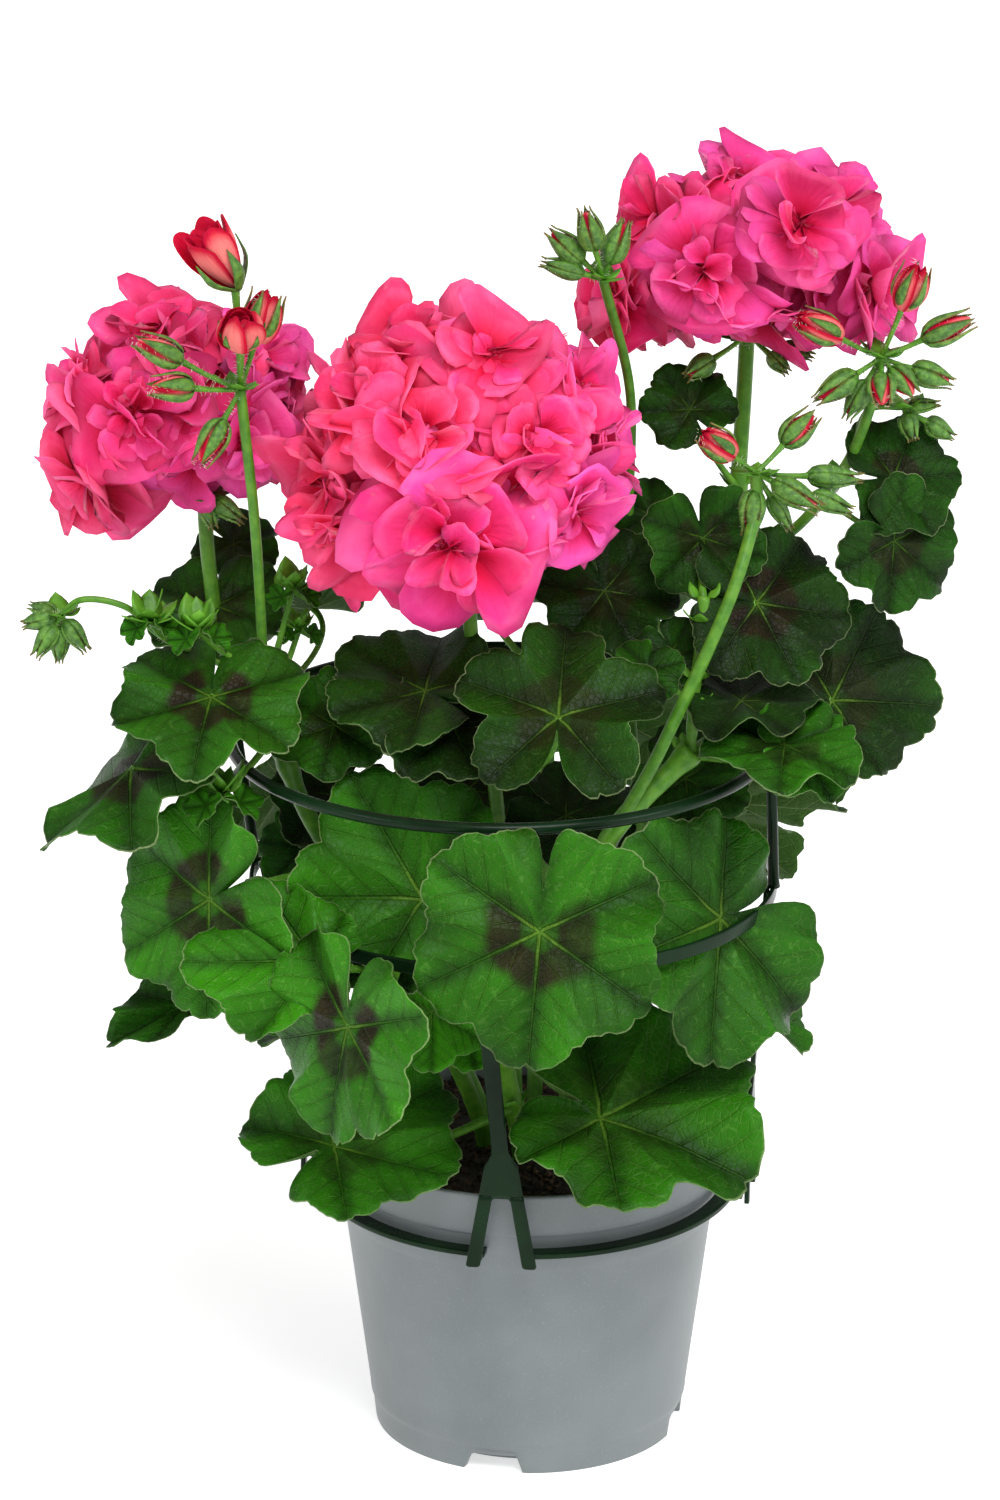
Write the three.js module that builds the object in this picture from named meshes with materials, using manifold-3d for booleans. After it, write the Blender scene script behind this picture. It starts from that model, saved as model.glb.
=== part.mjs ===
// Potted ivy geranium: a plastic pot of compost, a clip-on support cage and a leafy plant in bloom.
// Millimetres, +Z up, -Y is the front. The origin is the centre of the pot's foot.
import * as THREE from "three";
import { mergeVertices } from "three/addons/utils/BufferGeometryUtils.js";
import Module from "manifold-3d";

const wasm = await Module();
wasm.setup();

// Clearance between neighbouring pieces
const GAP = 0.3;

// Pot
const POT_HEIGHT = 103.5;
const RIM_RADIUS = 65;
const COLLAR_Z = 90;
const COLLAR_RADIUS = 64.3;
const SHOULDER_Z = 75;
const SHOULDER_RADIUS = 60.3;
const FOOT_RADIUS = 50;
const FOOT_RING = 2.6;
const FLOOR_Z = 7;
const DISC_RADIUS = 39;
const CHANNEL_RADIUS = 41;
const WALL = 1.6;
const POT_SIDES = 30;
const NOTCH_HEIGHT = 6;
const NOTCH_HALF_BOTTOM = 10;
const NOTCH_HALF_TOP = 7.8;
const NOTCH_DEEP = 12;
const NOTCH_TURNS = [-103, -13, 77, 167];

// Compost
const SOIL_EDGE_Z = 95;
const SOIL_CROWN_Z = 98;
const STEM_FOOT_Z = 84;
const SOIL_SLOPE_RADIUS = 38;

// Support cage: angles are seen from above, 0 along +X
const CAGE_TURNS = [-97, -8, 82, 171];
const TOP_HOOP = { x: -8.7, z: 236.6, radius: 86.9, wire: 2 };
const MIDDLE_HOOP = { x: -5, z: 187.4, radius: 84.4, height: 4.5, thickness: 1.6 };
const UPPER_BAR_RADIUS = 1.9;
const LOWER_BAR_WIDTH = 5.3;
const PLATE = 1.6;
const FOOT_OUT = 73;
const FORK = {
  shoulderZ: 120.5,
  crotchZ: 107,
  endZ: 82.5,
  shoulder: 5.3,
  outer: 11.4,
  inner: 6.8,
  crotch: 2.8,
};
const BAND = { z: 84.4, height: 2, inner: 63.2, outer: 69.5, opening: 5.2, stub: 3 };

// Plant
const BLADE = 0.9;
const PETAL = 0.8;
const BROAD_LEAF = 30;
const SMALL_BUD = 10;
const THREAD = 0.9;
const DEG = Math.PI / 180;

const GREEN = { color: 0x2f5f24, roughness: 0.5, metalness: 0 };
const PINK = { color: 0xef3f7c, roughness: 0.6, metalness: 0 };
const CAGE_GREEN = { color: 0x1f3a2c, roughness: 0.3, metalness: 0 };
const POT_GREY = { color: 0x9aa3a6, roughness: 0.45, metalness: 0 };
const COMPOST = { color: 0x2a1d16, roughness: 0.95, metalness: 0 };

const at = (x, y, z) => new THREE.Vector3(x, y, z);
const plus = (a, b, k = 1) => a.clone().addScaledVector(b, k);

// A closed three.js geometry as a solid
function solid(geometry) {
  const bare = geometry.clone();
  bare.deleteAttribute("normal");
  bare.deleteAttribute("uv");
  const merged = mergeVertices(bare, 1e-4);
  const triVerts = new Uint32Array(merged.index.array);
  const vertProperties = new Float32Array(merged.attributes.position.array);
  return new wasm.Manifold(new wasm.Mesh({ numProp: 3, vertProperties, triVerts }));
}

// All solids joined in pairs, which keeps each join small
function joined(solids) {
  let row = solids;
  while (row.length > 1) {
    const next = [];
    for (let i = 0; i < row.length; i += 2) {
      next.push(i + 1 < row.length ? row[i].add(row[i + 1]) : row[i]);
    }
    row = next;
  }
  return row[0];
}

// The triangles of a joined solid's one outer skin, without loose scraps or sealed hollows
function outerSkin(shape) {
  const mesh = shape.getMesh();
  const points = mesh.vertProperties;
  const faces = mesh.triVerts;
  const parent = Array.from({ length: points.length / 3 }, (_, i) => i);
  const root = (i) => {
    while (parent[i] !== i) {
      parent[i] = parent[parent[i]];
      i = parent[i];
    }
    return i;
  };
  for (let i = 0; i < faces.length; i += 3) {
    parent[root(faces[i])] = root(faces[i + 1]);
    parent[root(faces[i + 1])] = root(faces[i + 2]);
  }
  const skins = new Map();
  for (let i = 0; i < faces.length; i += 3) {
    const key = root(faces[i]);
    const [a, b, c] = [0, 1, 2].map((k) => at(...points.subarray(3 * faces[i + k], 3 * faces[i + k] + 3)));
    const skin = skins.get(key) ?? { volume: 0, list: [] };
    skin.volume += a.dot(b.cross(c)) / 6;
    skin.list.push(faces[i], faces[i + 1], faces[i + 2]);
    skins.set(key, skin);
  }
  const main = [...skins.values()].sort((p, q) => q.volume - p.volume)[0];
  const geometry = new THREE.BufferGeometry();
  geometry.setAttribute("position", new THREE.BufferAttribute(points, 3));
  geometry.setIndex(main.list);
  return geometry;
}

function piece(name, shape, finish) {
  const geometry = outerSkin(shape);
  geometry.computeVertexNormals();
  const material = new THREE.MeshStandardMaterial({ ...finish, side: THREE.FrontSide });
  const mesh = new THREE.Mesh(geometry, material);
  mesh.name = name;
  return mesh;
}

function lathe(profile, sides) {
  const points = profile.map(([r, z]) => new THREE.Vector2(r, z));
  const geometry = new THREE.LatheGeometry(points, sides);
  geometry.rotateX(Math.PI / 2);
  return solid(geometry);
}

function extruded(points, depth) {
  const shape = new THREE.Shape(points.map(([x, y]) => new THREE.Vector2(x, y)));
  return new THREE.ExtrudeGeometry(shape, { depth, bevelEnabled: false });
}

function ring(sides, radius) {
  return Array.from({ length: sides }, (_, i) => {
    const turn = (2 * Math.PI * i) / sides;
    return [radius * Math.cos(turn), radius * Math.sin(turn)];
  });
}

// A round stalk of one radius along a smooth path
function stalk(points, radius, steps, sides = 5) {
  const path = new THREE.CatmullRomCurve3(points, false, "centripetal");
  const shape = new THREE.Shape(ring(sides, radius).map(([x, y]) => new THREE.Vector2(x, y)));
  return solid(new THREE.ExtrudeGeometry(shape, { steps, bevelEnabled: false, extrudePath: path }));
}

// Pot
function pot() {
  const profile = [
    [0, 0],
    [DISC_RADIUS, 0],
    [CHANNEL_RADIUS, FLOOR_Z],
    [FOOT_RADIUS - FOOT_RING, FLOOR_Z],
    [FOOT_RADIUS - FOOT_RING, 0],
    [FOOT_RADIUS, 0],
    [SHOULDER_RADIUS, SHOULDER_Z],
    [COLLAR_RADIUS - 0.8, COLLAR_Z - 1],
    [COLLAR_RADIUS, COLLAR_Z],
    [RIM_RADIUS, POT_HEIGHT],
    [RIM_RADIUS - WALL, POT_HEIGHT],
    [COLLAR_RADIUS - WALL, COLLAR_Z],
    [SHOULDER_RADIUS - WALL, SHOULDER_Z],
    [FOOT_RADIUS - WALL + 0.3, FLOOR_Z + WALL],
    [CHANNEL_RADIUS - WALL, FLOOR_Z + WALL],
    [DISC_RADIUS - WALL, WALL],
    [0, WALL],
  ];
  const outline = [
    [-NOTCH_HALF_BOTTOM, -1],
    [NOTCH_HALF_BOTTOM, -1],
    [NOTCH_HALF_TOP, NOTCH_HEIGHT],
    [-NOTCH_HALF_TOP, NOTCH_HEIGHT],
  ];
  const notches = NOTCH_TURNS.map((turn) => {
    const notch = extruded(outline, NOTCH_DEEP);
    notch.rotateX(Math.PI / 2);
    notch.translate(0, FOOT_RADIUS + NOTCH_DEEP / 3, 0);
    notch.rotateZ((turn - 90) * DEG);
    return solid(notch);
  });
  return lathe(profile, POT_SIDES).subtract(joined(notches));
}

function compost(holes) {
  const profile = [
    [0, WALL + GAP],
    [DISC_RADIUS - WALL - 2 * GAP, WALL + GAP],
    [CHANNEL_RADIUS - WALL - 2 * GAP, FLOOR_Z + WALL + GAP],
    [FOOT_RADIUS - WALL - GAP, FLOOR_Z + WALL + GAP],
    [SHOULDER_RADIUS - WALL - 2 * GAP, SHOULDER_Z],
    [COLLAR_RADIUS - WALL - 2 * GAP, SOIL_EDGE_Z],
    [SOIL_SLOPE_RADIUS, SOIL_CROWN_Z - 1],
    [0, SOIL_CROWN_Z],
  ];
  return lathe(profile, POT_SIDES).subtract(holes);
}

// Support cage
function around(radius, turn, z, x = 0) {
  return at(x + radius * Math.cos(turn * DEG), radius * Math.sin(turn * DEG), z);
}

function hoop(size, section, sides) {
  const profile = [...section, section[0]].map(([r, z]) => [size.radius + r, z]);
  return lathe(profile, sides).translate([size.x, 0, size.z]);
}

function middleSection() {
  const r = MIDDLE_HOOP.thickness / 2;
  const z = MIDDLE_HOOP.height / 2;
  return [[-r, -z], [r, -z], [r, z], [-r, z]];
}

function upperBar(turn) {
  const foot = around(MIDDLE_HOOP.radius, turn, MIDDLE_HOOP.z + MIDDLE_HOOP.height / 2 + GAP, MIDDLE_HOOP.x);
  const head = around(TOP_HOOP.radius, turn, TOP_HOOP.z - TOP_HOOP.wire - GAP, TOP_HOOP.x);
  const bar = new THREE.CylinderGeometry(UPPER_BAR_RADIUS, UPPER_BAR_RADIUS, 1, 8);
  bar.rotateX(Math.PI / 2);
  const place = bar.attributes.position;
  for (let i = 0; i < place.count; i += 1) {
    const middle = foot.clone().lerp(head, place.getZ(i) + 0.5);
    place.setXYZ(i, middle.x + place.getX(i), middle.y + place.getY(i), middle.z);
  }
  return solid(bar);
}

// A forked plate that clips over the collar, with the flat lower upright above it
function foot(turn) {
  const f = FORK;
  const fork = [
    [-f.outer, f.endZ],
    [-f.inner, f.endZ],
    [-f.crotch, f.crotchZ],
    [f.crotch, f.crotchZ],
    [f.inner, f.endZ],
    [f.outer, f.endZ],
    [f.shoulder, f.shoulderZ - 3],
    [LOWER_BAR_WIDTH / 2, f.shoulderZ],
    [-LOWER_BAR_WIDTH / 2, f.shoulderZ],
    [-f.shoulder, f.shoulderZ - 3],
  ];
  const plate = extruded(fork, PLATE);
  plate.rotateX(Math.PI / 2);
  plate.translate(0, FOOT_OUT + PLATE / 2, 0);
  plate.rotateZ((turn - 90) * DEG);
  const inset = MIDDLE_HOOP.thickness / 2 + 2 * GAP + PLATE / 2;
  const head = around(MIDDLE_HOOP.radius - inset, turn, MIDDLE_HOOP.z + 1, MIDDLE_HOOP.x);
  const low = around(FOOT_OUT, turn, f.shoulderZ - 2);
  const bar = new THREE.BoxGeometry(LOWER_BAR_WIDTH, PLATE, 1);
  bar.rotateZ((turn - 90) * DEG);
  const place = bar.attributes.position;
  for (let i = 0; i < place.count; i += 1) {
    const middle = low.clone().lerp(head, place.getZ(i) + 0.5);
    place.setXYZ(i, middle.x + place.getX(i), middle.y + place.getY(i), middle.z);
  }
  return solid(plate).add(solid(bar));
}

// One quarter of the clamping band, with a stub at each end that reaches the fork
function bandArc(from, to) {
  const steps = 8;
  const start = from + BAND.opening;
  const end = to - BAND.opening;
  const turns = Array.from({ length: steps + 1 }, (_, i) => start + ((end - start) * i) / steps);
  const stubRadius = FOOT_OUT - PLATE / 2 - GAP;
  const outer = [
    [stubRadius, start],
    [stubRadius, start + BAND.stub],
    [BAND.outer, start + BAND.stub],
    ...turns.slice(1, -1).map((turn) => [BAND.outer, turn]),
    [BAND.outer, end - BAND.stub],
    [stubRadius, end - BAND.stub],
    [stubRadius, end],
  ];
  const inner = turns.map((turn) => [BAND.inner, turn]).reverse();
  const place = ([r, turn]) => [r * Math.cos(turn * DEG), r * Math.sin(turn * DEG)];
  const outline = [...outer, ...inner].map(place);
  return solid(extruded(outline, BAND.height)).translate([0, 0, BAND.z - BAND.height / 2]);
}

// Directions of a blade: tip, side and face, from the way it faces, its tilt and its turn in its own plane
function bladeAxes(azimuth, tilt, roll) {
  const [a, e, r] = [azimuth * DEG, tilt * DEG, roll * DEG];
  const face = at(Math.sin(a) * Math.cos(e), -Math.cos(a) * Math.cos(e), Math.sin(e));
  const level = at(Math.cos(a), Math.sin(a), 0);
  const down = level.clone().cross(face);
  const tip = down.multiplyScalar(Math.cos(r)).addScaledVector(level, Math.sin(r));
  return { tip, side: face.clone().cross(tip), face };
}

// A closed blade of even thickness: a rim of points round a middle point, alike on both faces
function blade(middle, rim, shift) {
  const flat = [middle, ...rim];
  const points = [...flat.map((p) => plus(p, shift, 0.5)), ...flat.map((p) => plus(p, shift, -0.5))];
  const under = flat.length;
  const faces = [];
  for (let i = 1; i <= rim.length; i += 1) {
    const j = (i % rim.length) + 1;
    faces.push(0, i, j, under, under + j, under + i);
    faces.push(i, under + i, under + j, i, under + j, j);
  }
  const geometry = new THREE.BufferGeometry();
  const numbers = points.flatMap((p) => [p.x, p.y, p.z]);
  geometry.setAttribute("position", new THREE.BufferAttribute(new Float32Array(numbers), 3));
  geometry.setIndex(faces);
  return solid(geometry);
}

// Leaf shape: shares of the radius, powers, and degrees
const NOTCH_POWER = 2.2;
const BASE_SHRINK = 0.1;
const SINUS = { start: 20, depth: 0.88, power: 1.8 };
const TIP_OFF = 0.24;
const LEAF_MIDDLE = 0.16;
const PLEAT_FADE = 0.35;
const LEAF_STALK = { drop: 0.3, lean: 0.22, broad: 1.6, small: 1.2, sink: 0.4 };

// Share of a leaf's radius at an angle from its tip: five lobes, a notch between each two, a deep base
function leafOutline(angle, leaf) {
  const { spread, notch, lobes } = leaf;
  const lobe = Math.max(-2, Math.min(2, Math.round(angle / spread)));
  const off = Math.min(Math.abs(angle / spread - lobe), 0.5);
  const place = Math.max(-2, Math.min(2, angle / spread)) + 2;
  const low = Math.min(3, Math.floor(place));
  const length = lobes[low] + (lobes[low + 1] - lobes[low]) * (place - low);
  const wide = Math.abs(angle);
  const base = Math.max(0, (wide - 2 * spread - SINUS.start) / (180 - SINUS.start - 2 * spread));
  const rim = (1 - notch * (2 * off) ** NOTCH_POWER) * (1 - BASE_SHRINK * (wide / 180));
  return rim * length * (1 - SINUS.depth * base ** SINUS.power);
}

const LEAF_SHAPE = {
  spread: 60,
  notch: 0.16,
  lobes: [1, 1, 1, 1, 1],
  cup: 0,
  pleat: 0.1,
  wave: 0.04,
  fold: 0,
  narrow: 1,
  corner: 160,
};

// A point of a leaf: height over its plane is a cup, a pleat between the veins, an edge wave and a fold
function leafPoint(leaf, axes, share, angle) {
  const r = share * leafOutline(angle, leaf);
  const lobe = Math.max(-2, Math.min(2, Math.round(angle / leaf.spread)));
  const off = 2 * Math.min(Math.abs(angle / leaf.spread - lobe), 0.5);
  const x = r * Math.cos(angle * DEG);
  const y = r * Math.sin(angle * DEG) * leaf.narrow;
  const wave = leaf.wave * r ** 3 * Math.sin(3 * angle * DEG);
  const pleat = leaf.pleat * r * off * (1 - PLEAT_FADE * r);
  const h = leaf.cup * r * r + pleat + wave + leaf.fold * Math.abs(y);
  const point = plus(leaf.at, axes.tip, leaf.radius * x);
  return plus(plus(point, axes.side, leaf.radius * y), axes.face, leaf.radius * h);
}

function leafBlade(leaf) {
  const axes = bladeAxes(leaf.azimuth, leaf.tilt, leaf.roll);
  const s = leaf.spread;
  const tips = leaf.radius > BROAD_LEAF ? [-TIP_OFF, TIP_OFF] : [0];
  const angles = [-leaf.corner];
  for (let lobe = -2; lobe <= 2; lobe += 1) {
    angles.push(...tips.map((off) => (lobe + off) * s));
    if (lobe < 2) angles.push((lobe + 0.5) * s);
  }
  angles.push(leaf.corner, 180);
  const rim = angles.map((angle) => leafPoint(leaf, axes, 1, angle));
  return blade(leafPoint(leaf, axes, LEAF_MIDDLE, 0), rim, axes.face.clone().multiplyScalar(BLADE));
}

// A leaf and its stalk, which leaves the stem at a point and comes up under the leaf's middle
function leaf(place, facing, radius, from, shape = {}) {
  const [azimuth, tilt, roll] = facing;
  return { ...LEAF_SHAPE, ...shape, at: at(...place), azimuth, tilt, roll, radius, from: at(...from) };
}

function leafStalk(one) {
  const axes = bladeAxes(one.azimuth, one.tilt, one.roll);
  const reach = one.at.distanceTo(one.from);
  const below = plus(one.at, axes.face, -LEAF_STALK.drop * reach);
  const bend = plus(below, axes.tip, -LEAF_STALK.lean * reach);
  const end = plus(one.at, axes.face, -LEAF_STALK.sink * BLADE);
  const path = new THREE.QuadraticBezierCurve3(one.from, bend, end);
  const thick = one.radius > BROAD_LEAF ? LEAF_STALK.broad : LEAF_STALK.small;
  const shape = new THREE.Shape(ring(3, thick).map(([x, y]) => new THREE.Vector2(x, y)));
  return solid(new THREE.ExtrudeGeometry(shape, { steps: 2, bevelEnabled: false, extrudePath: path }));
}

// Buds: the belly's half width and height are shares of the bud's own
const SLIM_BELLY = [[1, 0.45]];
const ROUND_BELLY = [[0.9, 0.3], [0.85, 0.65]];
const BUD_NECK = 0.95;
const KNOT = 3;

// A pointed bud and its thread in one turned shape from the hub outwards
function bud(hub, tip, length, width) {
  const reach = tip.distanceTo(hub);
  const small = width < SMALL_BUD;
  const belly = small ? SLIM_BELLY : ROUND_BELLY;
  const profile = [[0, 0], [THREAD, KNOT], [THREAD, Math.max(KNOT + 1, reach - BUD_NECK * length)]];
  belly.forEach(([r, t]) => profile.push([(r * width) / 2, reach - (1 - t) * length]));
  profile.push([0, reach]);
  const points = profile.map(([r, t]) => new THREE.Vector2(r, t));
  const body = new THREE.LatheGeometry(points, small ? 4 : 5);
  const axis = tip.clone().sub(hub).normalize();
  body.applyQuaternion(new THREE.Quaternion().setFromUnitVectors(at(0, 1, 0), axis));
  body.translate(hub.x, hub.y, hub.z);
  return solid(body);
}

function spray(hub, tips) {
  const centre = at(...hub);
  const knot = new THREE.IcosahedronGeometry(KNOT, 0);
  knot.translate(...hub);
  const buds = tips.map(([x, y, z, length, width]) => bud(centre, at(x, y, z), length, width));
  return joined([solid(knot), ...buds]);
}

// A layer of five petals: turn in petals, share of the floret's radius, half width share and rise per petal
const OUTER_PETAL = [[-0.5, 0.48, 0.06], [-0.3, 0.92, 0.36], [0.26, 1, 0.3]];
const INNER_PETAL = [[-0.5, 0.35, 0.1], [0, 1, 0.8]];
const HEART = { top: 1.4, foot: 2.4, height: 1.5, depth: 9, aside: 0.12, shift: -0.07 };
const ODD_LIFT = 1.25;
const EVEN_LIFT = 0.8;
const INNER_SHARE = 0.5;

function petals(floret, axes, outline, size, turn, height) {
  const rim = [];
  for (let i = 0; i < 5; i += 1) {
    for (const [off, share, rise] of outline) {
      const angle = (2 * Math.PI * (i + off + turn)) / 5;
      const lift = size * rise * (i % 2 ? ODD_LIFT : EVEN_LIFT);
      const out = plus(floret.at, axes.tip, size * share * Math.cos(angle));
      const flat = plus(out, axes.side, size * share * Math.sin(angle));
      rim.push(plus(flat, axes.face, height + lift));
    }
  }
  const middle = plus(plus(floret.at, axes.tip, HEART.aside * size), axes.face, height);
  return blade(middle, rim, axes.face.clone().multiplyScalar(PETAL));
}

// A floret: petals on a heart that reaches down to the ball, in two layers where it is double
function florets(floret) {
  const axes = bladeAxes(...floret.facing);
  const heart = new THREE.CylinderGeometry(HEART.top, HEART.foot, HEART.depth + HEART.height, 4);
  heart.translate(0, (HEART.height - HEART.depth) / 2, 0);
  heart.applyQuaternion(new THREE.Quaternion().setFromUnitVectors(at(0, 1, 0), axes.face));
  heart.translate(...plus(floret.at, axes.tip, HEART.shift * floret.radius));
  const outer = petals(floret, axes, OUTER_PETAL, floret.radius, 0, 0);
  const single = [solid(heart), outer];
  if (!floret.double) return single;
  return [...single, petals(floret, axes, INNER_PETAL, INNER_SHARE * floret.radius, 0.5, HEART.height)];
}

// A head: florets over a ball
function head(core, places) {
  const ball = new THREE.IcosahedronGeometry(1, 1);
  ball.scale(...core.size);
  ball.translate(...core.at);
  const list = places.map(([x, y, z, azimuth, tilt, roll, radius, double]) => ({
    at: at(x, y, z),
    facing: [azimuth, tilt, roll],
    radius,
    double,
  }));
  return joined([solid(ball), ...list.flatMap(florets)]);
}

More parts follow.
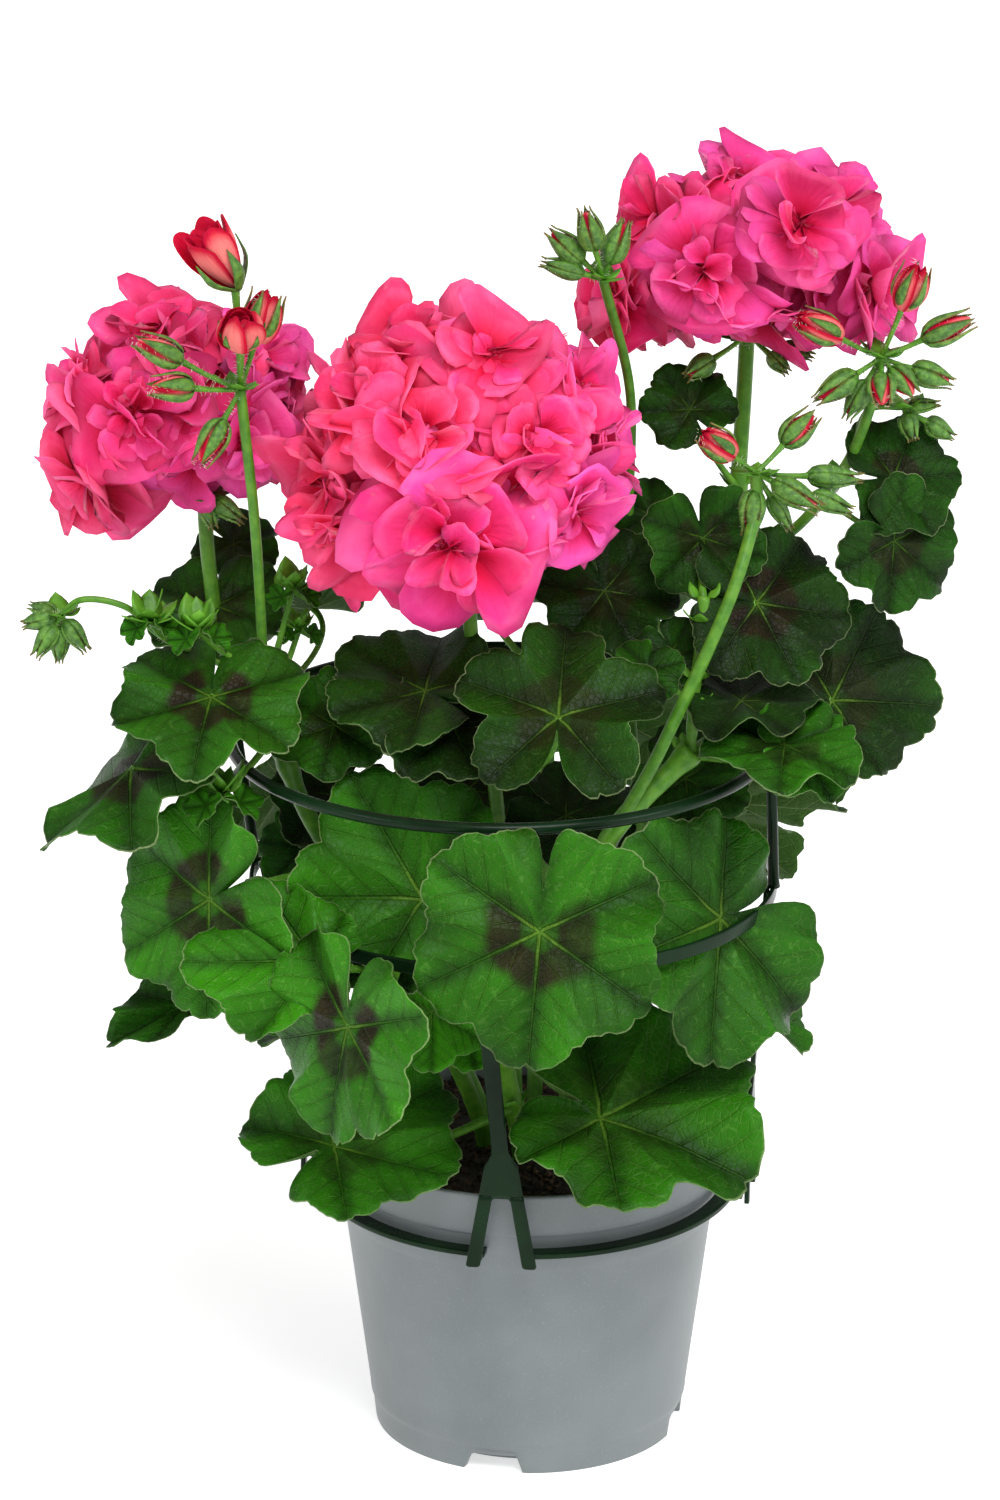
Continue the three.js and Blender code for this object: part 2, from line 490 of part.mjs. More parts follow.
// Leafy stems: each has stalks (path, radius, steps), leaves, and sprays of buds at its stalks' ends
const STEMS = {
  stem_front: {
    stalks: [[
      [[-2, -16, STEM_FOOT_Z], [-2.5, -16.5, 100], [-6, -26, 124], [-12, -38, 160], [-20, -44, 186]],
      3.4, 4,
    ]],
    leaves: [
      leaf([3, -104, 209], [0, 26, -5], 43, [-11, -36, 155], { cup: -0.05 }),
      leaf([-62, -55, 117], [-8, 60, 135], 41, [-6, -26, 118], {
        cup: -0.04, lobes: [0.8, 1.05, 1.1, 0.9, 0.85],
      }),
      leaf([-31, -50, 161], [0, 30, 0], 20, [-11, -36, 152]),
      leaf([-20, -34, 150], [0, 50, 10], 18, [-10, -33, 140]),
    ],
    sprays: [],
  },
  stem_right: {
    stalks: [
      [[
        [12, -10, STEM_FOOT_Z], [12, -10.5, 100], [14, -20, 130],
        [18, -38, 185], [25, -46, 218], [51, -36, 244],
      ], 3.8, 7],
      [[
        [25, -46, 218], [38, -50, 243], [46, -51, 261],
        [55, -48, 280], [65, -38, 302], [71, -26, 322], [71, -25, 333],
      ], 2.3, 6],
      [[[51, -36, 244], [52, -34, 262], [55, -25, 292]], 1.7, 2],
    ],
    leaves: [
      leaf([23, -66, 131], [6, 66, 62], 54, [13, -14, 108], {
        cup: -0.03, lobes: [0.66, 0.8, 0.97, 1.07, 1],
      }),
      leaf([60.5, -41, 189], [42, 25, -86], 47, [17, -36, 178], {
        cup: -0.04, lobes: [0.78, 0.95, 1.05, 1.07, 1], corner: 140,
      }),
      leaf([55, -12, 307], [14, 24, 8], 22, [55, -25, 290]),
      leaf([72, -20, 288], [18, 40, 75], 31, [54, -28, 284], { cup: -0.05 }),
      leaf([85, -48, 248], [25, 50, 75], 20, [50, -36, 243]),
      leaf([80, -50, 251], [10, 76, -75], 29, [50, -36, 243]),
      leaf([67, -34, 260], [10, 80, 85], 26, [52, -34, 252]),
      leaf([37, -38, 272], [0, 45, -20], 13, [52, -34, 258]),
      leaf([45, -24, 273], [20, 50, 20], 15, [53, -32, 266]),
    ],
    sprays: [
      [[71, -25, 333], [
        [53, -30, 348, 14, 10], [90, -12, 349, 16, 9], [104, -16, 328, 18, 7], [91, -34, 324, 18, 8],
        [69, -27, 313, 15, 8], [82, -20, 313, 14, 5], [101, -24, 320, 14, 6],
      ]],
    ],
  },
  stem_left: {
    stalks: [
      [[
        [-14, -6, STEM_FOOT_Z], [-14.5, -6, 100], [-24, -14, 130],
        [-48, -22, 180], [-72, -24, 222], [-84, -20, 262],
      ], 3.2, 6],
      [[[-84, -20, 262], [-86, -28, 315], [-90, -34, 363]], 1.9, 3],
      [[[-84, -20, 262], [-115, -20, 276], [-128, -20, 287], [-142, -20, 289], [-148, -20, 284]], 1.2, 6],
    ],
    leaves: [
      leaf([-56.5, -96, 174], [-50, 10, -8], 39, [-44, -21, 172], { cup: -0.05 }),
      leaf([-101, -52, 200], [-35, 12, -52], 39, [-60, -23, 200], { cup: -0.06 }),
      leaf([-68, -71, 187], [-15, 42, -82], 43, [-44, -20, 168], {
        pleat: 0.06, narrow: 0.85, lobes: [0.5, 0.9, 1, 0.85, 0.45],
      }),
      leaf([-34, -49, 199.5], [0, 24, -150], 46, [-48, -22, 182], {
        cup: 0.08, pleat: 0.06, lobes: [0.5, 0.85, 1, 0.95, 0.6],
      }),
      leaf([-46, -40, 185], [0, 45, 20], 24, [-44, -20, 172]),
      leaf([-100, -42, 264], [-5, 66, -5], 34, [-80, -22, 246], { cup: -0.05 }),
      leaf([-126, -36, 238], [-72, 55, 5], 38, [-82, -21, 255], { fold: -0.3, narrow: 0.85 }),
      leaf([-62, -28, 250], [-12, 50, -60], 22, [-76, -23, 235]),
      leaf([-109, -30, 156], [-25, 40, -50], 30, [-40, -20, 165], { fold: 0.8, narrow: 0.4 }),
      leaf([-83, -40, 160], [-20, 30, -20], 12, [-45, -21, 174]),
      leaf([-72, 1, 198], [-20, 50, -30], 17, [-60, -23, 201]),
    ],
    sprays: [
      [[-90, -34, 363], [
        [-101, -34, 418, 30, 19], [-89, -44, 391, 14, 14],
        [-80, -26, 394, 18, 12], [-122, -46, 383, 18, 9],
        [-118, -48, 368, 16, 9], [-103, -44, 341, 17, 9],
      ]],
      [[-148, -20, 284], [
        [-160, -20, 281, 11, 6], [-156, -25, 272, 12, 6],
        [-149, -18, 268, 13, 6], [-140, -22, 273, 12, 6],
        [-158, -14, 285, 10, 5],
      ]],
    ],
  },
  stem_middle: {
    stalks: [
      [[
        [-4, 4, STEM_FOOT_Z], [-4, 4, 100],
        [-6, 4, 160], [-12, -4, 230], [-18, -10, 270], [-20, -12, 312],
      ], 2.6, 5],
    ],
    leaves: [
      leaf([9, -62, 265], [0, 52, 176], 36, [-12, -4, 232], { spread: 70, notch: 0.34 }),
      leaf([-33, -30, 262], [-5, 70, -125], 33, [-13, -5, 238], { notch: 0.15 }),
      leaf([-24, -40, 253], [0, 66, -100], 27, [-12, -4, 228]),
      leaf([-21, -20, 259], [0, 50, 160], 18, [-14, -6, 244]),
      leaf([-20, 18, 211], [5, 64, 20], 28, [-9.5, -0.5, 200]),
      leaf([12, -8, 212], [0, 60, 60], 24, [-10, -1, 190]),
    ],
    sprays: [],
  },
  stem_back_right: {
    stalks: [
      [[
        [12, 12, STEM_FOOT_Z], [12.5, 12, 100], [30, 18, 150], [52, 16, 220],
        [64, 20, 280], [68, 28, 330], [70, 36, 366],
      ], 2.9, 7],
      [[[65, 20, 285], [86, 16, 302], [100, 12, 322], [108, 6, 345], [111, 4, 362]], 2, 5],
      [[[102, 12, 325], [108, 15, 341], [119, 15, 342]], 1.2, 3],
      [[[38, 17, 175], [33, 16, 240], [32, 14, 310], [32, 11, 348], [23, -8, 391]], 1.8, 5],
    ],
    leaves: [
      leaf([24, -8, 288], [5, 40, 20], 25, [31, 15, 262]),
      leaf([97, -4, 250], [25, 32, 80], 37, [60, 18, 258], { cup: -0.06, lobes: [0.8, 0.8, 1.08, 1, 1] }),
      leaf([116, 10, 320], [25, 38, 84], 23, [98, 13, 318]),
      leaf([116, 0, 302], [30, 15, 45], 24, [94, 14, 312]),
      leaf([51, 12, 342], [4, 42, -150], 17, [67, 23, 312]),
      leaf([39, 14, 306], [0, 35, -60], 14, [31, 13, 285]),
      leaf([50, -12, 226], [10, 45, 60], 22, [50, 17, 206]),
      leaf([67, 20, 206], [165, 48, -95], 38, [48, 17, 195], { lobes: [0.8, 0.8, 1, 0.55, 0.5] }),
      leaf([60, 80, 180], [145, 30, 10], 36, [38, 17, 172]),
      leaf([40, 62, 268], [150, 55, 20], 32, [58, 18, 250]),
      leaf([88, 54, 222], [110, 30, -15], 30, [52, 16, 220]),
      leaf([70, 34, 135], [100, 50, 10], 32, [24, 16, 128]),
    ],
    sprays: [
      [[111, 4, 362], [
        [123, -2, 395, 17, 11], [141, 8, 374, 19, 9], [83, -8, 379, 18, 10], [90, -8, 351, 17, 8],
        [100, 0, 343, 14, 7], [111, -8, 349, 12, 9], [122, 2, 349, 13, 9], [134, 8, 352, 15, 8],
      ]],
      [[119, 15, 342], [[135, 18, 331, 11, 6], [122, 12, 332, 9, 6], [130, 12, 344, 10, 4]]],
      [[23, -8, 391], [
        [6, -8, 407, 15, 8], [17, -16, 416, 16, 8], [30, -4, 409, 15, 8], [4, -10, 397, 14, 6],
      ]],
    ],
  },
  stem_back_left: {
    stalks: [
      [[
        [-14, 14, STEM_FOOT_Z], [-14.5, 14, 100], [-40, 20, 150], [-75, 14, 215],
        [-98, 8, 265], [-102, 7, 291], [-104, 9, 328],
      ], 2.7, 7],
    ],
    leaves: [
      leaf([-100, 6, 278], [-8, 60, 10], 25, [-96, 8, 262]),
      leaf([-95, 30, 291], [0, 60, 60], 16, [-98, 8, 266]),
      leaf([-62, 8, 213], [0, 50, -40], 23, [-66, 16, 200]),
      leaf([-70, 52, 262], [-140, 55, 0], 30, [-88, 11, 240]),
      leaf([-80, 56, 200], [-125, 25, 10], 29, [-60, 17, 190]),
      leaf([-58, 48, 122], [-135, 60, -10], 34, [-26, 17, 118]),
    ],
    sprays: [],
  },
  stem_back: {
    stalks: [[[[2, 20, STEM_FOOT_Z], [2, 20.5, 100], [4, 38, 150], [6, 50, 210], [6, 54, 245]], 3, 4]],
    leaves: [
      leaf([26, 102, 208], [172, 30, 5], 36, [5, 44, 178]),
      leaf([-46, 94, 168], [-150, 30, -10], 34, [4, 38, 150]),
      leaf([-16, 72, 262], [180, 60, 10], 34, [6, 52, 236]),
      leaf([-26, 56, 144], [-170, 60, 0], 30, [4, 36, 142]),
    ],
    sprays: [],
  },
};

// Flower heads: ball centre and half sizes, the stem whose stalk carries it, and florets,
// each with its place, azimuth, tilt, turn, petal length and whether it is double
const HEADS = {
  head_middle: {
    ball: { at: [-20, -15, 337], size: [38, 36, 33] },
    florets: [
      [-24, -54, 320, -5, -2, 10, 33, true], [-32, -47, 353, -8, 30, 40, 21, true],
      [-12, -31, 372, 15, 60, 0, 23],
      [-37, -8, 371, -20, 72, 30, 20], [14, -40, 325, 45, -8, 50, 24], [20, -14, 340, 85, 12, 0, 20],
      [14, -24, 360, 55, 35, 20, 19], [-63, -18, 330, -72, -5, 35, 22], [-50, -29, 357, -50, 35, 0, 19],
      [-22, 23, 354, 175, 35, 20, 22], [-56, 10, 344, -115, 15, 10, 19], [10, 13, 335, 135, 5, 30, 20],
    ],
    stalk: "stem_middle",
  },
  head_left: {
    ball: { at: [-110, 15, 342], size: [29, 23, 22] },
    florets: [
      [-124, -8, 346, -10, 20, 15, 23, true], [-138, 3, 324, -45, -22, 40, 22],
      [-115, 16, 366, -10, 68, 20, 22],
      [-92, -4, 338, 5, 10, 45, 18], [-86, 18, 358, 35, 45, 10, 18], [-139, 18, 348, -85, 25, 0, 18],
      [-112, 40, 346, 170, 25, 0, 20], [-86, 34, 338, 130, 10, 20, 17],
    ],
    stalk: "stem_back_left",
  },
  head_right: {
    ball: { at: [69, 28, 385], size: [31, 22, 21] },
    florets: [
      [55, 3, 390, -10, 12, 10, 24, true], [84, 3, 404, 10, 32, 40, 21], [107, 23, 379, 50, 5, 0, 23],
      [97, 34, 402, 45, 50, 25, 19], [30, 25, 377, -65, 0, 15, 20], [42, 26, 400, -42, 50, 0, 20],
      [70, 36, 408, 0, 82, 30, 22], [72, 52, 390, 178, 28, 0, 22], [46, 48, 384, -140, 10, 20, 18],
      [96, 48, 380, 130, 5, 10, 19],
    ],
    stalk: "stem_back_right",
  },
};

const ROOM = 0.5;

function stalks(stem) {
  return stem.stalks.map(([path, radius, steps]) => stalk(path.map((p) => at(...p)), radius, steps));
}

// Room for a main stalk: as the stalk, but wider and a gap longer at both ends
function room(stem) {
  const [path, radius, steps] = stem.stalks[0];
  const points = path.map((p) => at(...p));
  const out = (a, b) => plus(a, a.clone().sub(b).normalize(), GAP);
  const last = points.length - 1;
  const long = [out(points[0], points[1]), ...points.slice(1, last), out(points[last], points[last - 1])];
  return stalk(long, radius + ROOM, steps);
}

function leafyStem(stem) {
  const leaves = stem.leaves.flatMap((one) => [leafBlade(one), leafStalk(one)]);
  const sprays = stem.sprays.map(([hub, tips]) => spray(hub, tips));
  return joined([...stalks(stem), ...leaves, ...sprays]);
}

// Assembly
const plant = new THREE.Group();
const holes = joined(Object.values(STEMS).map(room));

plant.add(piece("pot", pot(), POT_GREY));
plant.add(piece("compost", compost(holes), COMPOST));

const wire = ring(6, TOP_HOOP.wire);
plant.add(piece("cage_top_hoop", hoop(TOP_HOOP, wire, 28), CAGE_GREEN));
plant.add(piece("cage_middle_hoop", hoop(MIDDLE_HOOP, middleSection(), 32), CAGE_GREEN));
CAGE_TURNS.forEach((turn, i) => {
  const next = CAGE_TURNS[(i + 1) % CAGE_TURNS.length] + (i + 1 < CAGE_TURNS.length ? 0 : 360);
  plant.add(piece(`cage_upper_bar_${i + 1}`, upperBar(turn), CAGE_GREEN));
  plant.add(piece(`cage_foot_${i + 1}`, foot(turn), CAGE_GREEN));
  plant.add(piece(`cage_band_${i + 1}`, bandArc(turn, next), CAGE_GREEN));
});

for (const [name, stem] of Object.entries(STEMS)) {
  plant.add(piece(name, leafyStem(stem), GREEN));
}
for (const [name, one] of Object.entries(HEADS)) {
  plant.add(piece(name, head(one.ball, one.florets).subtract(room(STEMS[one.stalk])), PINK));
}

export default plant;
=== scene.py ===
"""A potted ivy geranium in bloom: pot, compost, clip-on support cage, leafy stems, buds and flower heads.

Tables are in millimetres and degrees, in the shared frame: +Z up, -Y towards the front, +X to the right.
"""

import math

import bpy
import numpy as np
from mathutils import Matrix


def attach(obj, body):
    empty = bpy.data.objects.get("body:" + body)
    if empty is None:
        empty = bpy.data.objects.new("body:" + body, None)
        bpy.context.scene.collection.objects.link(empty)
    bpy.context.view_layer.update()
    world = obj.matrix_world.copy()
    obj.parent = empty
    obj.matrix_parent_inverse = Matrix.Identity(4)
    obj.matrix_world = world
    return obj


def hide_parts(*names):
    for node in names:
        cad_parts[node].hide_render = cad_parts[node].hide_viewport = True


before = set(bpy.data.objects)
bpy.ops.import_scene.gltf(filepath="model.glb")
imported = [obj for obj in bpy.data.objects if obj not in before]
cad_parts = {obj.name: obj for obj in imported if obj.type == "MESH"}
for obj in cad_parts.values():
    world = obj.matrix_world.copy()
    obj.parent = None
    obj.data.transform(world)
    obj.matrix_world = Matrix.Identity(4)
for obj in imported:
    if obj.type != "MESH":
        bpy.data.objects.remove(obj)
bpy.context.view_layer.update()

MM = 0.001
STEM_FOOT_Z = 84
GOLDEN_ANGLE = 2.39996
# The usual leaf: degrees from lobe to lobe, and shares of its radius
LEAF_SHAPE = dict(spread=60, notch=0.16, lobes=(1, 1, 1, 1, 1), cup=0, pleat=0.1, fold=0, narrow=1, bare=0)


def leaf(place, facing, radius, start, look, **more):
    """A leaf: place, facing (azimuth, tilt, turn), radius, where its stalk starts, look (strength of its
    brown zone, lightness, warmth) and what departs from LEAF_SHAPE. A bare one is green behind its stalk."""
    return {**LEAF_SHAPE, "at": np.array(place, float), "facing": facing, "radius": radius,
            "start": np.array(start, float), "look": look, **more}


# Leafy stems: stalks (path, radius), leaves, sprays of buds (hub, then tip, length and width of each bud) and
# shoots (foot, tip, size)
STEMS = {
  "stem_front": {
    "stalks": [
      ([(-2, -16, STEM_FOOT_Z), (-2.5, -16.5, 100), (-6, -26, 124), (-12, -38, 160), (-20, -44, 186)], 3.4),
    ],
    "leaves": [
      leaf((3, -104, 209), (0, 26, -5), 43, (-11, -36, 155), (0.95, 1.05, 0.2), cup=-0.05, bare=1),
      leaf((-62, -55, 117), (-8, 60, 135), 41, (-6, -26, 118), (0.45, 1.1, 0.35), cup=-0.04,
           lobes=(0.8, 1.05, 1.1, 0.9, 0.85)),
      leaf((-31, -50, 161), (0, 30, 0), 20, (-11, -36, 152), (0, 1.5, 0.9)),
      leaf((-20, -34, 150), (0, 50, 10), 18, (-10, -33, 140), (0, 1.5, 0.9)),
    ],
  },
  "stem_right": {
    "stalks": [
      ([(12, -10, STEM_FOOT_Z), (12, -10.5, 100), (14, -20, 130), (18, -38, 185), (25, -46, 218),
        (51, -36, 244)], 3.8),
      ([(25, -46, 218), (38, -50, 243), (46, -51, 261), (55, -48, 280), (65, -38, 302), (71, -26, 322),
        (71, -25, 333)], 2.3),
      ([(51, -36, 244), (52, -34, 262), (55, -25, 292)], 1.7),
    ],
    "leaves": [
      leaf((23, -66, 131), (6, 66, 62), 54, (13, -14, 108), (0.4, 0.95, 0.4), cup=-0.03,
           lobes=(0.66, 0.8, 0.97, 1.07, 1)),
      leaf((60.5, -41, 189), (42, 25, -86), 47, (17, -36, 178), (0, 1, 0.05), cup=-0.04,
           lobes=(0.78, 0.95, 1.05, 1.07, 1)),
      leaf((55, -12, 307), (14, 24, 8), 22, (55, -25, 290), (0.7, 0.75, 0.1)),
      leaf((72, -20, 288), (18, 40, 75), 31, (54, -28, 284), (0.95, 0.55, 0), cup=-0.05),
      leaf((85, -48, 248), (25, 50, 75), 20, (50, -36, 243), (0.5, 1.15, 0.2)),
      leaf((80, -50, 251), (10, 76, -75), 29, (50, -36, 243), (0.6, 0.95, 0.2)),
      leaf((67, -34, 260), (10, 80, 85), 26, (52, -34, 252), (0.2, 0.5, 0.1)),
      leaf((37, -38, 272), (0, 45, -20), 13, (52, -34, 258), (0, 0.8, 0.2)),
      leaf((45, -24, 273), (20, 50, 20), 15, (53, -32, 266), (0, 0.6, 0.2)),
    ],
    "sprays": [
      ((71, -25, 333), [
        (53, -30, 348, 14, 10), (90, -12, 349, 16, 9), (104, -16, 328, 18, 7), (91, -34, 324, 18, 8),
        (69, -27, 313, 15, 8), (82, -20, 313, 14, 5), (101, -24, 320, 14, 6)]),
    ],
  },
  "stem_left": {
    "shoots": [
      ((-112, -20, 275), (-120, -25, 284), 13), ((-88, -24, 268), (-104, -35, 284), 14),
      ((-84, -20, 258), (-75, -12, 290), 12), ((-84, -20, 250), (-73, -10, 276), 10),
      ((-80, -22, 246), (-97, -48, 234), 17),
    ],
    "stalks": [
      ([(-14, -6, STEM_FOOT_Z), (-14.5, -6, 100), (-24, -14, 130), (-48, -22, 180), (-72, -24, 222),
        (-84, -20, 262)], 3.2),
      ([(-84, -20, 262), (-86, -28, 315), (-90, -34, 363)], 1.9),
      ([(-84, -20, 262), (-115, -20, 276), (-128, -20, 287), (-142, -20, 289), (-148, -20, 284)], 1.2),
    ],
    "leaves": [
      leaf((-56.5, -96, 174), (-50, 10, -8), 39, (-44, -21, 172), (1, 1.3, 0.25), cup=-0.05),
      leaf((-101, -52, 200), (-35, 12, -52), 39, (-60, -23, 200), (1, 1.25, 0.25), cup=-0.06),
      leaf((-68, -71, 187), (-15, 42, -82), 43, (-44, -20, 168), (0, 1.4, 0.4), pleat=0.06, narrow=0.85,
           lobes=(0.5, 0.9, 1, 0.85, 0.45)),
      leaf((-34, -49, 199.5), (0, 24, -150), 46, (-48, -22, 182), (0, 1, 0.5), cup=0.08, pleat=0.06,
           lobes=(0.5, 0.85, 1, 0.95, 0.6)),
      leaf((-46, -40, 185), (0, 45, 20), 24, (-44, -20, 172), (0.2, 0.7, 0.3)),
      leaf((-100, -42, 264), (-5, 66, -5), 34, (-80, -22, 246), (1, 0.9, 0.25), cup=-0.05),
      leaf((-126, -36, 238), (-72, 55, 5), 38, (-82, -21, 255), (0.9, 0.85, 0.2), fold=-0.3, narrow=0.85),
      leaf((-62, -28, 250), (-12, 50, -60), 22, (-76, -23, 235), (0.5, 0.75, 0.2)),
      leaf((-109, -30, 156), (-25, 40, -50), 30, (-40, -20, 165), (0.1, 0.8, 0.2), fold=0.8, narrow=0.4),
      leaf((-83, -40, 160), (-20, 30, -20), 12, (-45, -21, 174), (0, 1.1, 0.4)),
      leaf((-72, 1, 198), (-20, 50, -30), 17, (-60, -23, 201), (0, 0.8, 0.4)),
    ],
    "sprays": [
      ((-90, -34, 363), [
        (-101, -34, 418, 30, 19), (-89, -44, 391, 14, 14), (-80, -26, 394, 18, 12), (-122, -46, 383, 18, 9),
        (-118, -48, 368, 16, 9), (-103, -44, 341, 17, 9)]),
      ((-148, -20, 284), [
        (-160, -20, 281, 11, 6), (-156, -25, 272, 12, 6), (-149, -18, 268, 13, 6), (-140, -22, 273, 12, 6),
        (-158, -14, 285, 10, 5)]),
    ],
  },
  "stem_middle": {
    "stalks": [
      ([(-4, 4, STEM_FOOT_Z), (-4, 4, 100), (-6, 4, 160), (-12, -4, 230), (-18, -10, 270),
        (-20, -12, 312)], 2.6),
    ],
    "leaves": [
      leaf((9, -62, 265), (0, 52, 176), 36, (-12, -4, 232), (0.55, 0.6, 0.15), notch=0.34, spread=70),
      leaf((-33, -30, 262), (-5, 70, -125), 33, (-13, -5, 238), (0.5, 0.6, 0.2), notch=0.15),
      leaf((-24, -40, 253), (0, 66, -100), 27, (-12, -4, 228), (0.3, 0.42, 0.1)),
      leaf((-21, -20, 259), (0, 50, 160), 18, (-14, -6, 244), (0.1, 0.55, 0.1)),
      leaf((-20, 18, 211), (5, 64, 20), 28, (-9.5, -0.5, 200), (0.3, 0.42, 0.1)),
      leaf((12, -8, 212), (0, 60, 60), 24, (-10, -1, 190), (0.2, 0.5, 0.1)),
    ],
  },
  "stem_back_right": {
    "stalks": [
      ([(12, 12, STEM_FOOT_Z), (12.5, 12, 100), (30, 18, 150), (52, 16, 220), (64, 20, 280), (68, 28, 330),
        (70, 36, 366)], 2.9),
      ([(65, 20, 285), (86, 16, 302), (100, 12, 322), (108, 6, 345), (111, 4, 362)], 2),
      ([(102, 12, 325), (108, 15, 341), (119, 15, 342)], 1.2),
      ([(38, 17, 175), (33, 16, 240), (32, 14, 310), (32, 11, 348), (23, -8, 391)], 1.8),
    ],
    "leaves": [
      leaf((24, -8, 288), (5, 40, 20), 25, (31, 15, 262), (0.6, 0.5, 0.1)),
      leaf((97, -4, 250), (25, 32, 80), 37, (60, 18, 258), (0.6, 0.5, 0.1), cup=-0.06,
           lobes=(0.8, 0.8, 1.08, 1, 1)),
      leaf((116, 10, 320), (25, 38, 84), 23, (98, 13, 318), (0.8, 0.6, 0.1)),
      leaf((116, 0, 302), (30, 15, 45), 24, (94, 14, 312), (0.8, 0.7, 0.1)),
      leaf((51, 12, 342), (4, 42, -150), 17, (67, 23, 312), (0.4, 0.6, 0.1)),
      leaf((39, 14, 306), (0, 35, -60), 14, (31, 13, 285), (0.2, 0.6, 0.1)),
      leaf((50, -12, 226), (10, 45, 60), 22, (50, 17, 206), (0, 0.7, 0.2)),
      leaf((67, 20, 206), (165, 48, -95), 38, (48, 17, 195), (0, 0.75, 0.3),
           lobes=(0.8, 0.8, 1, 0.55, 0.5)),
      leaf((60, 80, 180), (145, 30, 10), 36, (38, 17, 172), (0.7, 0.85, 0.2)),
      leaf((40, 62, 268), (150, 55, 20), 32, (58, 18, 250), (0.7, 0.8, 0.2)),
      leaf((88, 54, 222), (110, 30, -15), 30, (52, 16, 220), (0.7, 0.8, 0.2)),
      leaf((70, 34, 135), (100, 50, 10), 32, (24, 16, 128), (0.5, 0.8, 0.2)),
    ],
    "sprays": [
      ((111, 4, 362), [
        (123, -2, 395, 17, 11), (141, 8, 374, 19, 9), (83, -8, 379, 18, 10), (90, -8, 351, 17, 8),
        (100, 0, 343, 14, 7), (111, -8, 349, 12, 9), (122, 2, 349, 13, 9), (134, 8, 352, 15, 8)]),
      ((119, 15, 342), [(135, 18, 331, 11, 6), (122, 12, 332, 9, 6), (130, 12, 344, 10, 4)]),
      ((23, -8, 391), [
        (6, -8, 407, 15, 8), (17, -16, 416, 16, 8), (30, -4, 409, 15, 8), (4, -10, 397, 14, 6)]),
    ],
  },
  "stem_back_left": {
    "stalks": [
      ([(-14, 14, STEM_FOOT_Z), (-14.5, 14, 100), (-40, 20, 150), (-75, 14, 215), (-98, 8, 265),
        (-102, 7, 291), (-104, 9, 328)], 2.7),
    ],
    "leaves": [
      leaf((-100, 6, 278), (-8, 60, 10), 25, (-96, 8, 262), (0.6, 0.7, 0.2)),
      leaf((-95, 30, 291), (0, 60, 60), 16, (-98, 8, 266), (0.3, 0.6, 0.2)),
      leaf((-62, 8, 213), (0, 50, -40), 23, (-66, 16, 200), (0.3, 0.45, 0.15)),
      leaf((-70, 52, 262), (-140, 55, 0), 30, (-88, 11, 240), (0.7, 0.8, 0.2)),
      leaf((-80, 56, 200), (-125, 25, 10), 29, (-60, 17, 190), (0.7, 0.9, 0.2)),
      leaf((-58, 48, 122), (-135, 60, -10), 34, (-26, 17, 118), (0.5, 0.9, 0.3)),
    ],
  },
  "stem_back": {
    "stalks": [
      ([(2, 20, STEM_FOOT_Z), (2, 20.5, 100), (4, 38, 150), (6, 50, 210), (6, 54, 245)], 3),
    ],
    "leaves": [
      leaf((26, 102, 208), (172, 30, 5), 36, (5, 44, 178), (0.9, 0.95, 0.2)),
      leaf((-46, 94, 168), (-150, 30, -10), 34, (4, 38, 150), (0.9, 0.95, 0.2)),
      leaf((-16, 72, 262), (180, 60, 10), 34, (6, 52, 236), (0.7, 0.85, 0.2)),
      leaf((-26, 56, 144), (-170, 60, 0), 30, (4, 36, 142), (0.4, 0.8, 0.2)),
    ],
  },
}

